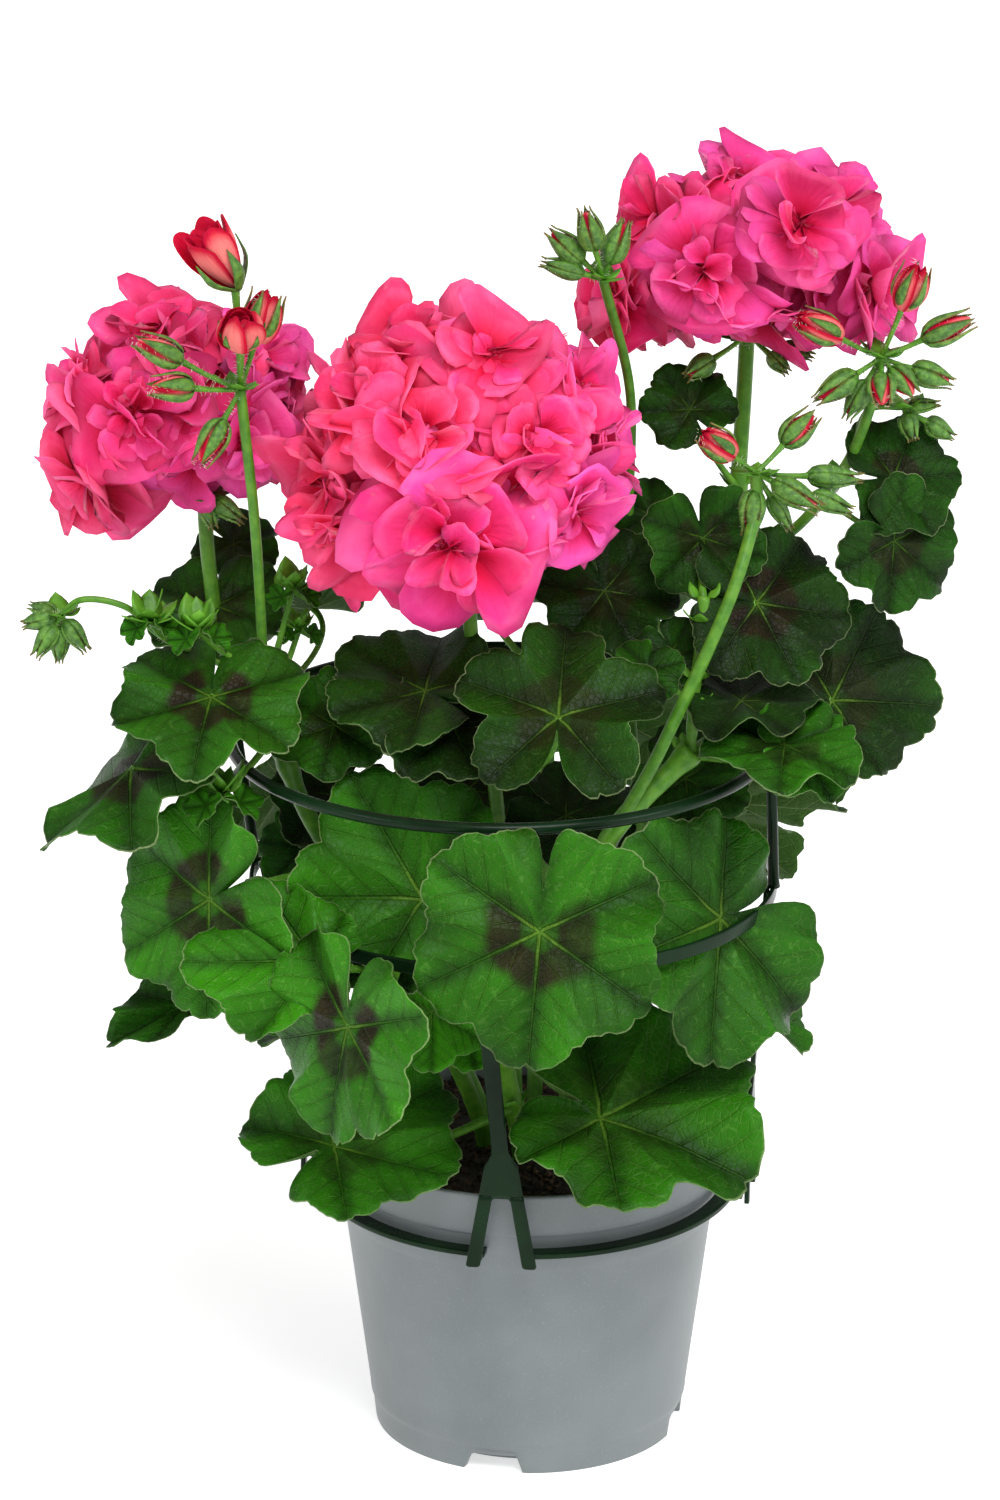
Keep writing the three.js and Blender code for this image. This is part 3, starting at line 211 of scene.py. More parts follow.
# Flower heads: where the threads meet, the ball (middle, half sizes), how many florets fill it, lightness
# (painted shade on the heads that stand further back), buds below it, and the florets that are seen (place,
# facing, radius, shares of salmon and mauve)
HEADS = {
  "head_middle": {
    "hub": (-20, -12, 306), "ball": ((-20, -15, 337), (38, 36, 33)), "more": 28, "light": 1,
    "florets": [
      (-24, -54, 320, -5, -2, 10, 33, 0.1, 0.35), (-32, -47, 353, -8, 30, 40, 21, 0.5, 0.2),
      (-12, -31, 372, 15, 60, 0, 23, 0.35, 0.2), (2, -44, 351, 22, 14, 0, 18, 0.35, 0.25),
      (-54, -30, 317, -35, -18, 20, 24, 0.5, 0.1), (-37, -8, 371, -20, 72, 30, 20, 0.5, 0.1),
      (11, -40, 326, 45, -8, 50, 21, 0, 0.95), (20, -14, 340, 85, 12, 0, 20, 0, 0.8),
      (14, -24, 360, 55, 35, 20, 19, 0.1, 0.6), (-60, -24, 331, -42, 0, 35, 25, 0.55, 0.1),
      (-50, -30, 354, -42, 30, 0, 21, 0.5, 0.15), (-22, 23, 354, 175, 35, 20, 22, 0.3, 0.4),
      (-56, 10, 344, -115, 15, 10, 19, 0.5, 0.2), (10, 13, 335, 135, 5, 30, 20, 0.1, 0.6),
    ],
  },
  "head_left": {
    "hub": (-104, 4, 318), "ball": ((-110, 15, 342), (29, 23, 22)), "more": 20, "light": 0.93,
    "under": [(-91, -6, 311, 13, 6), (-100, -4, 308, 9, 5)],
    "florets": [
      (-124, -8, 346, -10, 20, 15, 23, 0.15, 0.3), (-138, 3, 324, -45, -22, 40, 22, 0.35, 0.2),
      (-115, 16, 366, -10, 68, 20, 22, 0.3, 0.3), (-92, -4, 338, 5, 10, 45, 18, 0, 0.8),
      (-86, 18, 358, 35, 45, 10, 18, 0, 0.85), (-139, 18, 348, -85, 25, 0, 18, 0.3, 0.3),
      (-112, 40, 346, 170, 25, 0, 20, 0.2, 0.4), (-86, 34, 338, 130, 10, 20, 17, 0.1, 0.6),
    ],
  },
  "head_right": {
    "hub": (70, 30, 362), "ball": ((69, 28, 385), (31, 22, 21)), "more": 20, "light": 0.9,
    "under": [(90, 18, 358, 11, 5), (82, 14, 354, 10, 5), (50, 12, 353, 12, 7)],
    "florets": [
      (55, 3, 390, -10, 12, 10, 24, 0.05, 0.5), (84, 3, 404, 10, 32, 40, 21, 0.1, 0.5),
      (107, 23, 379, 50, 5, 0, 23, 0.1, 0.75), (97, 34, 402, 45, 50, 25, 19, 0.1, 0.6),
      (30, 25, 377, -65, 0, 15, 20, 0.2, 0.2), (42, 26, 400, -42, 50, 0, 20, 0.2, 0.2),
      (70, 36, 408, 0, 82, 30, 22, 0.1, 0.7), (72, 52, 390, 178, 28, 0, 22, 0.2, 0.5),
      (46, 48, 384, -140, 10, 20, 18, 0.2, 0.5), (96, 48, 380, 130, 5, 10, 19, 0.2, 0.5),
    ],
  },
}


class Heap:
    """Closed skins gathered into one mesh, with what each point carries for its material: a place on the UV
    map, a tint and a mood, whose parts the finishes name."""

    def __init__(self):
        self.points, self.corners, self.sizes, self.smooth = [], [], [], []
        self.uv, self.tint, self.mood = [], [], []
        self.count = 0

    def add(self, points, faces, smooth=None, tint=(0, 0, 1, 0), mood=(0, 0, 0, 0), uv=(0, 0)):
        """Points, arrays of faces with the same number of corners, and paint: one value, or one a point."""
        self.points.append(points)
        for group in faces:
            self.corners.append(group.ravel() + self.count)
            self.sizes.append(np.full(len(group), group.shape[1]))
        self.smooth.append(np.ones(sum(map(len, faces)), bool) if smooth is None else smooth)
        for store, value in ((self.uv, uv), (self.tint, tint), (self.mood, mood)):
            value = np.asarray(value, float)
            store.append(np.tile(value, (len(points), 1)) if value.ndim == 1 else value)
        self.count += len(points)

    def skin(self, rows, tint=(0, 0, 1, 0), mood=(0, 0, 0, 0), uv=(0, 0), ends=None, rim=None):
        """Rows of points, each closed on itself, joined one to the next, with a point that closes each end.
        The faces after row rim are the thin side of a blade, and sharp."""
        n, m, _ = rows.shape
        ends = ends or (rows[0].mean(0), rows[-1].mean(0))
        i, j = np.arange(n - 1)[:, None] * m, np.arange(m)
        k = (j + 1) % m
        quads = np.stack([i + j, i + m + j, i + m + k, i + k], -1).reshape(-1, 4)
        first = each(n * m, j, k)
        last = each(n * m + 1, (n - 1) * m + k, (n - 1) * m + j)
        smooth = np.ones(len(quads) + 2 * m, bool)
        if rim is not None:
            smooth[rim * m:(rim + 1) * m] = False
        paint = []
        for value in (tint, mood, uv):
            if np.ndim(value) > 1:
                flat = value.reshape(n * m, -1)
                value = np.vstack([flat, flat[:m].mean(0), flat[-m:].mean(0)])
            paint.append(value)
        self.add(np.vstack([rows.reshape(-1, 3), *ends]), [quads, first, last], smooth, *paint)

    def ring(self, rows, tint):
        """Closed rows whose last row joins the first, as on a hoop."""
        n, m, _ = rows.shape
        i, j = np.arange(n)[:, None], np.arange(m)
        k, w = (j + 1) % m, (i + 1) % n
        quads = np.stack([i * m + j, w * m + j, w * m + k, i * m + k], -1)
        self.add(rows.reshape(-1, 3), [quads.reshape(-1, 4)], tint=tint)

    def copies(self, points, faces, tint=(0, 0, 1, 0)):
        """Many small closed solids: a block of points each, and the faces that all of them share."""
        count, size, _ = points.shape
        index = np.arange(count)[:, None, None] * size + faces
        self.add(points.reshape(-1, 3), [index.reshape(-1, len(faces[0]))], tint=tint)

    def sheet(self, front, thick, tint, under, mood, uv):
        """A thin closed sheet: a grid of points, its twin a thickness below, and sharp faces at the edge."""
        n, m, _ = front.shape
        size = n * m
        start = (np.arange(n - 1)[:, None] * m + np.arange(m - 1)).ravel()
        face = np.stack([start, start + m, start + m + 1, start + 1], -1)
        edge = np.concatenate([np.arange(m), np.arange(2 * m - 1, size, m),
                               np.arange(size - 2, size - m - 1, -1), np.arange(size - 2 * m, 0, -m)])
        after = np.roll(edge, -1)
        side = np.stack([edge, after, after + size, edge + size], -1)
        faces = np.concatenate([face, face[:, ::-1] + size, side])
        flat = np.arange(len(faces)) < 2 * len(face)
        points, tint, uv = (np.vstack(pair).reshape(2 * size, -1)
                            for pair in ((front, front - thick), (tint, under), (uv, uv)))
        self.add(points, [faces], flat, tint, mood, uv)

    def piece(self, name, material, nodes, slot):
        """Turns the heap into a smooth mesh object in metres that stands for those nodes."""
        mesh = bpy.data.meshes.new(name)
        points, corners = np.vstack(self.points) * MM, np.concatenate(self.corners).astype(np.int32)
        sizes = np.concatenate(self.sizes).astype(np.int32)
        mesh.vertices.add(len(points))
        mesh.vertices.foreach_set("co", points.astype(np.float32).ravel())
        mesh.loops.add(len(corners))
        mesh.loops.foreach_set("vertex_index", corners)
        mesh.polygons.add(len(sizes))
        mesh.polygons.foreach_set("loop_start", np.concatenate([[0], np.cumsum(sizes)[:-1]]).astype(np.int32))
        mesh.polygons.foreach_set("loop_total", sizes)
        mesh.polygons.foreach_set("use_smooth", np.concatenate(self.smooth))
        mesh.update(calc_edges=True)
        layer = mesh.uv_layers.new(name="UVMap")
        layer.data.foreach_set("uv", np.vstack(self.uv)[corners].astype(np.float32).ravel())
        for label, store in (("tint", self.tint), ("mood", self.mood)):
            paint = mesh.color_attributes.new(label, "FLOAT_COLOR", "POINT")
            paint.data.foreach_set("color", np.vstack(store).astype(np.float32).ravel())
        mesh.validate()
        mesh.materials.append(material)
        thing = linked(name, mesh)
        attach(thing, "root")
        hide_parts(*nodes)


def linked(name, data):
    """A new object in the scene, at the origin."""
    thing = bpy.data.objects.new(name, data)
    bpy.context.scene.collection.objects.link(thing)
    return thing


def each(*parts):
    """Numbers and arrays, brought to one shape, as the parts of one value a point."""
    return np.stack(np.broadcast_arrays(*parts), -1)


def unit(v):
    """Vectors brought to length one."""
    return v / np.maximum(np.linalg.norm(v, axis=-1, keepdims=True), 1e-9)


def smooth(low, high, x):
    """0 below low, 1 above high, and 3t^2 - 2t^3 between."""
    t = np.clip((x - low) / (high - low), 0, 1)
    return t * t * (3 - 2 * t)


def full_turn(sides):
    """Even steps round a circle, in radians."""
    return np.linspace(0, 2 * np.pi, sides, endpoint=False)


def swung(a, b, turn):
    """Directions at angles that run from a towards b."""
    turn = np.asarray(turn)[..., None]
    return a * np.cos(turn) + b * np.sin(turn)


def ray(turn, rise):
    """A direction at an angle round the upright axis, with a rise."""
    return unit(np.array([np.cos(turn), np.sin(turn), rise]))


def moved(start, *moves):
    """A start, and pairs of a distance and a direction by which it is moved; each is one, or one a point."""
    for distance, way in moves:
        start = start + np.asarray(distance)[..., None] * way
    return start


def square_to(axis, ref=(0.3, 1, 0.2)):
    """Two directions square to an axis and to each other."""
    a = unit(np.cross(axis, ref))
    return a, np.cross(axis, a)


def blade_axes(azimuth, tilt, turn):
    """Tip, side and face of a blade by the way it faces, its tilt and its turn in its plane, in degrees."""
    a, e, r = np.radians([azimuth, tilt, turn])
    face = np.array([np.sin(a) * np.cos(e), -np.cos(a) * np.cos(e), np.sin(e)])
    level = np.array([np.cos(a), np.sin(a), 0.0])
    tip = swung(np.cross(level, face), level, r)
    return tip, np.cross(face, tip), face


def spline(points, steps):
    """A centripetal Catmull-Rom curve: cubics through the points, whose tangents weigh each span's root."""
    p = np.asarray(points, float)
    p = np.vstack([2 * p[0] - p[1], p, 2 * p[-1] - p[-2]])
    gap = np.sqrt(np.linalg.norm(np.diff(p, axis=0), axis=1, keepdims=True))
    t = np.linspace(0, len(points) - 1, steps)
    k = np.minimum(t.astype(int), len(points) - 2)
    f = (t - k)[:, None]
    a, b, c, d = p[k], p[k + 1], p[k + 2], p[k + 3]
    g0, g1, g2 = gap[k], gap[k + 1], gap[k + 2]
    m1 = ((b - a) / g0 - (c - a) / (g0 + g1) + (c - b) / g1) * g1
    m2 = ((c - b) / g1 - (d - b) / (g1 + g2) + (d - c) / g2) * g1
    return b + m1 * f + (3 * (c - b) - 2 * m1 - m2) * f ** 2 + (2 * (b - c) + m1 + m2) * f ** 3


def bezier(a, b, c, steps):
    """The quadratic curve from a to c that bends towards b."""
    t = np.linspace(0, 1, steps)[:, None]
    return a * (1 - t) ** 2 + 2 * b * t * (1 - t) + c * t ** 2


def tube(path, radius, sides=10):
    """Circles of a radius (one, or one a point) round a path, in planes square to it."""
    d = unit(np.gradient(path, axis=0))
    a, b = square_to(d, np.eye(3)[np.argmin(np.abs(d).max(0))])
    radius = np.broadcast_to(radius, len(path))[:, None, None]
    return (path[:, None] + radius * swung(a[:, None], b[:, None], full_turn(sides)))[:, ::-1]


def strip(start, length, half, rise, axes, inset, bow=0):
    """Rows of a thin pointed strip: it runs along the first axis, spreads by half its width along the second,
    and stands off along the third by a rise that falls towards its edges."""
    along, across, out = axes
    w = np.array([-1, -inset, inset, 1, inset, -inset])
    skin = 0.25 * np.array([0, 1, 1, 0, -1, -1])
    return moved(start, (length, along), (half * w, across), (rise - bow * half * w * w + skin, out))


def leaf_rim(one, angle):
    """Share of the radius at each angle: lobe lengths, a power notch between lobes, a slit at the stalk. Also
    the share of the way from a lobe's middle to its edge, and how near the slit is."""
    s = one["spread"]
    lobe = np.clip(np.round(angle / s), -2, 2)
    off = np.minimum(np.abs(angle / s - lobe), 0.5)
    length = np.interp(np.clip(angle / s, -2, 2), [-2, -1, 0, 1, 2], one["lobes"])
    wide = np.abs(angle)
    base = np.maximum(0, (wide - 2 * s - 20) / (160 - 2 * s))
    rim = (1 - one["notch"] * (2 * off) ** 2.2) * (1 - 0.1 * wide / 180)
    return rim * length * (1 - 0.88 * base ** (6 + 8 * one["bare"])), 2 * off, base


# Grids of leaves: the radius above which one holds, its points round the rim, and its rings; then half the
# thickness of a blade
LEAF_GRIDS = [(30, 168, 10), (12, 96, 7), (0, 40, 3)]
BLADE_HALF = 0.2


def leaf_skin(heap, one, rng):
    """A closed leaf: its height is a cup, a pleat between the veins, waves, a fold, swells that are also
    painted into its lightness as light on their crests and shade in their hollows, a ripple at the edge and
    puckers;
    its rim has scallops with a finer tooth on them."""
    size, place = one["radius"], one["at"]
    _, count, rings = next(grid for grid in LEAF_GRIDS if size > grid[0])
    angle = -180 + 360 * (np.arange(count) + 0.5) / count
    rim, off, base = leaf_rim(one, angle)
    p, q, a, b, c = rng.uniform(0, 6, 5)
    rad = np.radians(angle)
    beat = 11 * rad + 0.7 * np.sin(2 * rad + p) + 0.5 * np.sin(5 * rad + q)
    scallop = 1 - np.abs(np.sin(beat)) ** 0.8
    tooth = np.abs(np.sin(3.1 * beat + 1))
    rim = rim * (1.015 - (0.055 * scallop ** 1.6 + 0.014 * tooth) * (1 - base))
    share = (np.arange(1, rings + 1) / rings)[:, None] ** 0.85
    r = share * rim
    x, y = r * np.cos(rad), r * np.sin(rad) * one["narrow"]
    crease = np.sqrt(off ** 2 + 0.008) - 0.089
    swell = 0.06 * share ** 3 * np.sin(5 * rad + a) + 0.042 * share ** 4 * np.sin(9 * rad + b)
    h = one["cup"] * r * r + 2.5 * one["pleat"] * r * crease * (1 - 0.4 * r) + 0.04 * r ** 3 * np.sin(3 * rad)
    h = h + one["fold"] * np.sqrt(y * y + 0.002) + swell
    h = h + 0.016 * share ** 6 * np.sin(17 * rad + c) + 0.045 * r * r * np.sin(2 * rad + b)
    h = h + 0.009 * np.sin(13 * x + a) * np.sin(12 * y + b) * share
    tip, side, face = blade_axes(*one["facing"])
    flat = moved(place, (size * x, tip), (size * y, side), (size * h, face))
    thick = BLADE_HALF * face
    turn = rad * LEAF_SHAPE["spread"] / one["spread"]
    uv = each(0.5 + 0.4 * r * np.cos(turn), 0.5 + 0.4 * r * np.sin(turn))
    zone, light, warm = one["look"]
    light = light * rng.uniform(0.95, 1.05)
    # Lightness of the top face: the leaf's own, times painted light on the swells' crests and painted shade
    # in their hollows
    top, under = each(share, zone, light * (1 + 4 * swell), 0), each(share, zone, light + 0 * r, 1)
    mood = (warm, rng.uniform(0, 1), rng.uniform(0, 1), one["bare"])
    heap.skin(np.vstack([flat + thick, (flat - thick)[::-1]]), np.vstack([top, under[::-1]]), mood,
              np.vstack([uv, uv[::-1]]), (place + thick, place - thick), rings - 1)


def leaf_stalk(heap, one, rng):
    """A leaf's stalk: a quadratic curve from the stem that comes up under the blade, thicker at both ends."""
    tip, _, face = blade_axes(*one["facing"])
    place, start = one["at"], one["start"]
    reach = np.linalg.norm(place - start)
    path = bezier(start, place - 0.3 * reach * face - 0.22 * reach * tip, place - 0.3 * face, 18)
    t = np.linspace(0, 1, 18)
    radius = (1.25 if one["radius"] > 30 else 0.95) * (1 + 0.5 * (1 - t) ** 6 + 0.25 * t ** 8)
    heap.skin(tube(path, radius), (rng.uniform(0, 1), 0.3, 1, 0))
    return path, radius


def bract(heap, place, out, size, rng):
    """A small pointed scale at a joint: a leaf-shaped skin that is widest at a third of its length."""
    t = np.linspace(0.02, 1, 6)[:, None]
    across = unit(np.cross(out, [0, 0, 1.0]))
    axes = (out, across, unit(np.cross(across, out)))
    half = size * 0.45 * np.sin(np.pi * t ** 0.7) ** 0.8
    rows = strip(place, size * t, half, size * 0.25 * t ** 2, axes, 0.4)
    heap.skin(rows[:, ::-1], (rng.uniform(0, 1), 0.1, 1.1, 0))


HAIR_FACES = np.array([[0, 1, 3], [1, 2, 3], [2, 0, 3], [2, 1, 0]])
HAIR_THICK = 0.09


def hairs(heap, path, radius, count, length, rng):
    """Fine hairs that stand square to a path: thin three-sided spikes."""
    k = rng.integers(1, len(path) - 1, count)
    d = unit(path[k + 1] - path[k - 1])
    side = unit(np.cross(d, unit(rng.normal(size=(count, 3)))))
    root = path[k] + (path[k + 1] - path[k]) * rng.uniform(0, 1, (count, 1))
    r = np.broadcast_to(radius, len(path))[k][:, None]
    long = length * rng.uniform(0.5, 1.2, (count, 1))
    base = root + side * r * 0.8
    tip = root + side * (r + long) + d * long * rng.uniform(-0.3, 0.3, (count, 1))
    a, b = HAIR_THICK * d, HAIR_THICK * np.cross(side, d)
    heap.copies(np.stack([base + a, base + b, base - a - b, tip], 1), HAIR_FACES)


# Widths of buds: their petals show above the first, the bud ripens between the next two, its petals are
# single sheets from the fourth on and part above the last
SHOWS, RIPENS, RIPE, FURLS, PARTS = 6.5, 7.5, 10, 9.5, 13
# A parting bud that is longer than this is wide open
LONG_BUD = 20
# Salmon of petals in buds: so far past 1 that their finish turns them peach
PEACH = 1.5


def spindle(t, width):
    """Radius of a bud along its length: a sine of a power, fuller below its middle."""
    return 0.5 * width * np.sin(np.pi * np.clip(t, 0, 1) ** 0.75) ** 0.8 * (1 - 0.2 * t)


def bud_thread(heaps, hub, base, axis, length, radius, rng):
    """The hairy thread that carries a bud: a curve that sags a little and widens into the bud's base."""
    reach = np.linalg.norm(base - hub)
    path = bezier(hub, (hub + base) / 2 - [0, 0, 0.06 * reach], base + 0.1 * length * axis, 12)
    thick = radius + 0.5 * np.linspace(0, 1, 12) ** 5
    heaps["stalk"].skin(tube(path, thick, 8), (rng.uniform(0, 1), 0.5, 1, 0))
    hairs(heaps["hair"], path, thick, int(6 + 2.5 * reach), 1.6, rng)


def bud(heaps, hub, row, rng):
    """A bud on its thread: a turned body, or furled petals, in the clasp of five pointed sepals."""
    *tip, length, width = row
    axis = unit(tip - hub)
    base = tip - length * axis
    bud_thread(heaps, hub, base, axis, length, 0.8, rng)
    ripe = float(np.clip((width - RIPENS) / (RIPE - RIPENS), 0, 1))
    a, b = square_to(axis)
    if width >= FURLS:
        furled(heaps["petal"], base, (a, b, axis), 0.96 * length, 0.46 * width, 0.0, rng)
    else:
        t = np.linspace(0, 1, 14)[1:-1, None]
        turn = full_turn(20)
        half = spindle(t, width * 0.92) * (1 + 0.05 * np.sin(3 * turn + 5 * t) * t)
        rows = moved(base, (length * (0.04 + 0.93 * t), axis), (half, swung(a, b, turn)))
        if width > SHOWS:
            swirl = 0.5 + 0.5 * np.cos(3 * turn + 5 * t)
            tint = each(0.15 + 0.65 * swirl, swirl, 0.75 + 0.25 * ripe, 0)
            heaps["petal"].skin(rows[:, ::-1], tint[:, ::-1], (PEACH, 0, rng.uniform(0, 1), 0.5))
        else:
            heaps["bud"].skin(rows[:, ::-1], (0.5, 0.2, 0.8, 0), (0, rng.uniform(0, 1), 0, 0))
    reach = 1.06 - 0.16 * ripe
    s = np.linspace(0, 1, 10)[:, None]
    w = np.array([-1, -0.55, 0, 0.55, 1, 0.55, 0, -0.55])
    skin = 0.22 * np.array([0, 1, 1, 1, 0, -1, -1, -1])
    spread = np.pi / 5 * (1.25 - 0.6 * ripe) * np.maximum(0.02, 1 - s ** (2.0 + 1.6 * (1 - ripe))) ** 0.8
    for k in range(5):
        out = swung(a, b, 2 * np.pi * k / 5 + spread * w + rng.uniform(-0.08, 0.08))
        splay = (0.03 + 0.12 * rng.uniform(0, 1.5)) * width * s ** 5 + 0.12 * width * ripe * s ** 2
        r = spindle(np.minimum(0.97, reach * s), width) + 0.3 + 0.3 * (1 - w * w) + splay + skin
        rows = moved(base, (length * reach * s, axis), (r, out))
        tint = each(s, np.abs(w), rng.uniform(0.85, 1.05), 0)
        heaps["bud"].skin(rows[:, ::-1], tint[:, ::-1], (ripe, rng.uniform(0, 1), 0, 0))
    spine = moved(base, (length * np.linspace(0, 1, 8), axis))
    hairs(heaps["hair"], spine, spindle(np.linspace(0.05, 0.95, 8), width), int(4 * length), 1.5, rng)


def furled(heap, base, axes, length, radius, parted, rng):
    """Furled petals: three rings of round-tipped sheets on a turned cup, each with one edge outside its
    neighbour and one inside; the cup closes at its top, or flares by the share parted."""
    a, b, axis = axes
    t = np.linspace(0, 1, 9)[:, None]
    w = np.linspace(-1, 1, 11)
    edge = np.maximum(np.abs(w) ** 3, t ** 5)
    for ring, (count, share) in enumerate(((5, 1.0), (4, 0.72), (3, 0.42))):
        for i in range(count):
            high = length * (1 - 0.06 * ring * (1 - parted)) * rng.uniform(0.88, 1.0)
            up = high * t * (1 - (0.2 + 0.1 * parted) * w ** 2)
            s = up / length
            closed = np.sin(np.pi * (0.1 + 0.84 * s) ** 0.85) ** 0.7
            flared = np.sin(np.pi / 2 * np.minimum(1, 1.5 * s)) * (0.75 + 0.45 * s ** 2)
            cup = closed * (1 - parted) + flared * parted
            r = radius * share * np.maximum(0.05, cup) * (1 + 0.13 * w) + 0.05 * radius * rng.uniform(0, 1)
            r = r + 0.1 * radius * parted * np.sin(3 * w + i) * s ** 2
            place = 2 * (i + 0.5 * ring + rng.uniform(-0.12, 0.12))
            out = swung(a, b, np.pi / count * (place + 1.3 * w * (1 - 0.25 * s)))
            front = moved(base, (up, axis), (r, out))
            tint = each(0.95 - 0.85 * edge, np.abs(w), rng.uniform(0.85, 1.05), 0)[:, ::-1]
            inner = tint * [0.4, 1, 1, 1]
            mood = (PEACH, 0, rng.uniform(0, 1), 0.2 * ring)
            heap.sheet(front[:, ::-1], 0.3 * out[4, 5], tint, inner, mood, each(t, 0.5 + 0.5 * w))


def sepals(heap, base, axes, length, radius, rng):
    """Five pointed green sepals that clasp a bud or a floret from its base: strips that bow outwards."""
    a, b, axis = axes
    t = np.linspace(0, 1, 9)[:, None]
    half = radius * 0.34 * np.sin(np.pi * np.clip(t, 0.02, 1) ** 0.55) ** 0.9
    away = radius * (np.sin(np.pi * 0.5 * np.minimum(1, 1.6 * t)) * (1 + 0.1 * t) + 0.12)
    for i in range(5):
        turn = 2 * np.pi * (i + rng.uniform(-0.1, 0.1)) / 5
        own = (axis, swung(b, -a, turn), swung(a, b, turn))
        rows = strip(base, length * t, half, away, own, 0.5, 0.25)
        heap.skin(rows, (0.5, 0.15, 1, 0), (0.2, rng.uniform(0, 1), 0, 0))


def parting_bud(heaps, hub, row, rng):
    """A bud that opens: furled petals that rise from a cup of five narrow sepals. A long one leans aside."""
    *tip, length, width = row
    wide = length > LONG_BUD
    axis = unit(tip - hub + np.array([-22, -4, 0]) * wide)
    if wide:
        tip, length, width = np.array(tip) - [2, 0, 2], 0.84 * length, 0.86 * width
    base = tip - length * axis
    bud_thread(heaps, hub, base, axis, length, 1.0, rng)
    axes, parted = (*square_to(axis), axis), 0.75 if wide else 0.1
    furled(heaps["petal"], base + 0.06 * length * axis, axes, 0.94 * length, 0.52 * width, parted, rng)
    sepals(heaps["bud"], base, axes, 0.62 * length, 0.44 * width, rng)


def shoot(heaps, foot, place, size, rng):
    """A young shoot: a short stalk with a tuft of pointed leaflets and two small folded leaves at its end."""
    foot, place = np.array(foot, float), np.array(place, float)
    path = bezier(foot, (foot + place) / 2 - [0, 0, 3], place, 10)
    heaps["stalk"].skin(tube(path, np.linspace(1.3, 0.9, 10), 8), (rng.uniform(0, 1), 0.2, 1.1, 0))
    hairs(heaps["hair"], path, 1.0, 24, 1.3, rng)
    for i in range(9):
        out = ray(2.4 * i + rng.uniform(-0.3, 0.3), rng.uniform(0, 1.4))
        bract(heaps["stalk"], place + 0.04 * size * out, out, size * rng.uniform(0.5, 0.85), rng)
    for azimuth in (-40, 60):
        a = np.radians(azimuth)
        spot = place + 0.4 * size * np.array([np.sin(a), -np.cos(a), -0.3])
        facing = (azimuth, rng.uniform(30, 60), 0)
        one = leaf(spot, facing, 0.45 * size, place, (0.05, 1.25, 0.7), fold=0.4, notch=0.3)
        leaf_skin(heaps["leaf"], one, rng)
        leaf_stalk(heaps["stalk"], one, rng)


# Points along and across a petal
PETAL_GRID = (7, 13)


def petal(heap, centre, axes, turn, length, half, lift, curl, look, rng):
    """A petal: lines fan from its claw to a rim that is round with slow scallops and often a notch; its
    height is a lift, a sideways lean, a curl of the rim, a trough along its middle, and slow and quick waves,
    which are also painted into its lightness as light on the crests and shade in the troughs. Its look is its
    salmon, its mauve and its layer."""
    tip, side, face = axes
    n, m = PETAL_GRID
    t = np.linspace(0.05, 1, n)[:, None] ** 0.9
    w = np.linspace(-1, 1, m)
    fan = 2.3 * w
    out = swung(tip, side, turn)
    across = np.cross(face, out)
    p, q, s = rng.uniform(0, 6, 3)
    lean, bow, notch = rng.uniform(-0.55, 0.55), rng.uniform(0.7, 1.8), rng.uniform(0, 0.14)
    rim = 1 + 0.05 * np.cos(3 * fan + p) + 0.018 * np.cos(5 * fan + q) - notch * np.exp(-(fan / 0.42) ** 2)
    far = length * t * (0.6 + 0.4 * np.cos(fan)) * rim - 0.3 * np.abs(curl) * np.maximum(0, t - 0.6)
    wide = half * t ** 1.3 * np.sin(fan) * (1.04 - 0.1 * np.cos(fan)) * rim
    wave = 0.1 * np.sin(1.5 * fan + 2 * t + p) * t ** 1.5 + 0.055 * np.sin(2.8 * fan + q) * t ** 3
    wave = wave + 0.02 * np.sin(4.5 * fan + s) * t ** 4
    rise = lift * t ** bow + 2 * curl * np.maximum(0, t - 0.5) ** 2 + 0.22 * half * w * w * (1 - t)
    rise = rise + lean * wide * t + length * wave - 0.12 * half * np.abs(w) ** 3 * t
    front = moved(centre, (far, out), (wide, across), (rise, face))
    # Lightness: a random tone, times painted light on the crests of the waves and painted shade in their
    # troughs
    tint = each(t, np.abs(w), rng.uniform(0.85, 1.08) * (1 + 1.8 * wave), 0)
    slope = unit(np.cross(front[-1, m // 2] - front[0, m // 2], across))
    salmon, mauve, layer = look
    heap.sheet(front, 0.35 * slope, tint, tint + [0, 0, 0, 1], (salmon, mauve, rng.uniform(0, 1), layer),
               each(t, 0.5 + 0.5 * w))


# Layers of a floret's petals: count, shift, length, half width, lift, curl, depth. Open ones lie calmer
LAYERS = [(5, 0.0, 1.06, 0.78, 0.16, -0.25, 0.0), (4, 0.4, 0.9, 0.7, 0.34, -0.1, 0.3),
          (3, 0.2, 0.7, 0.5, 0.48, 0.1, 0.6), (1, 0.6, 0.46, 0.34, 0.46, 0.3, 1.0)]
OPEN = [(5, 0.0, 1.0, 0.7, 0.08, -0.3, 0.0), (5, 0.5, 0.76, 0.46, 0.14, -0.1, 0.35),
        (4, 0.3, 0.46, 0.2, 0.3, 0.1, 0.9)]


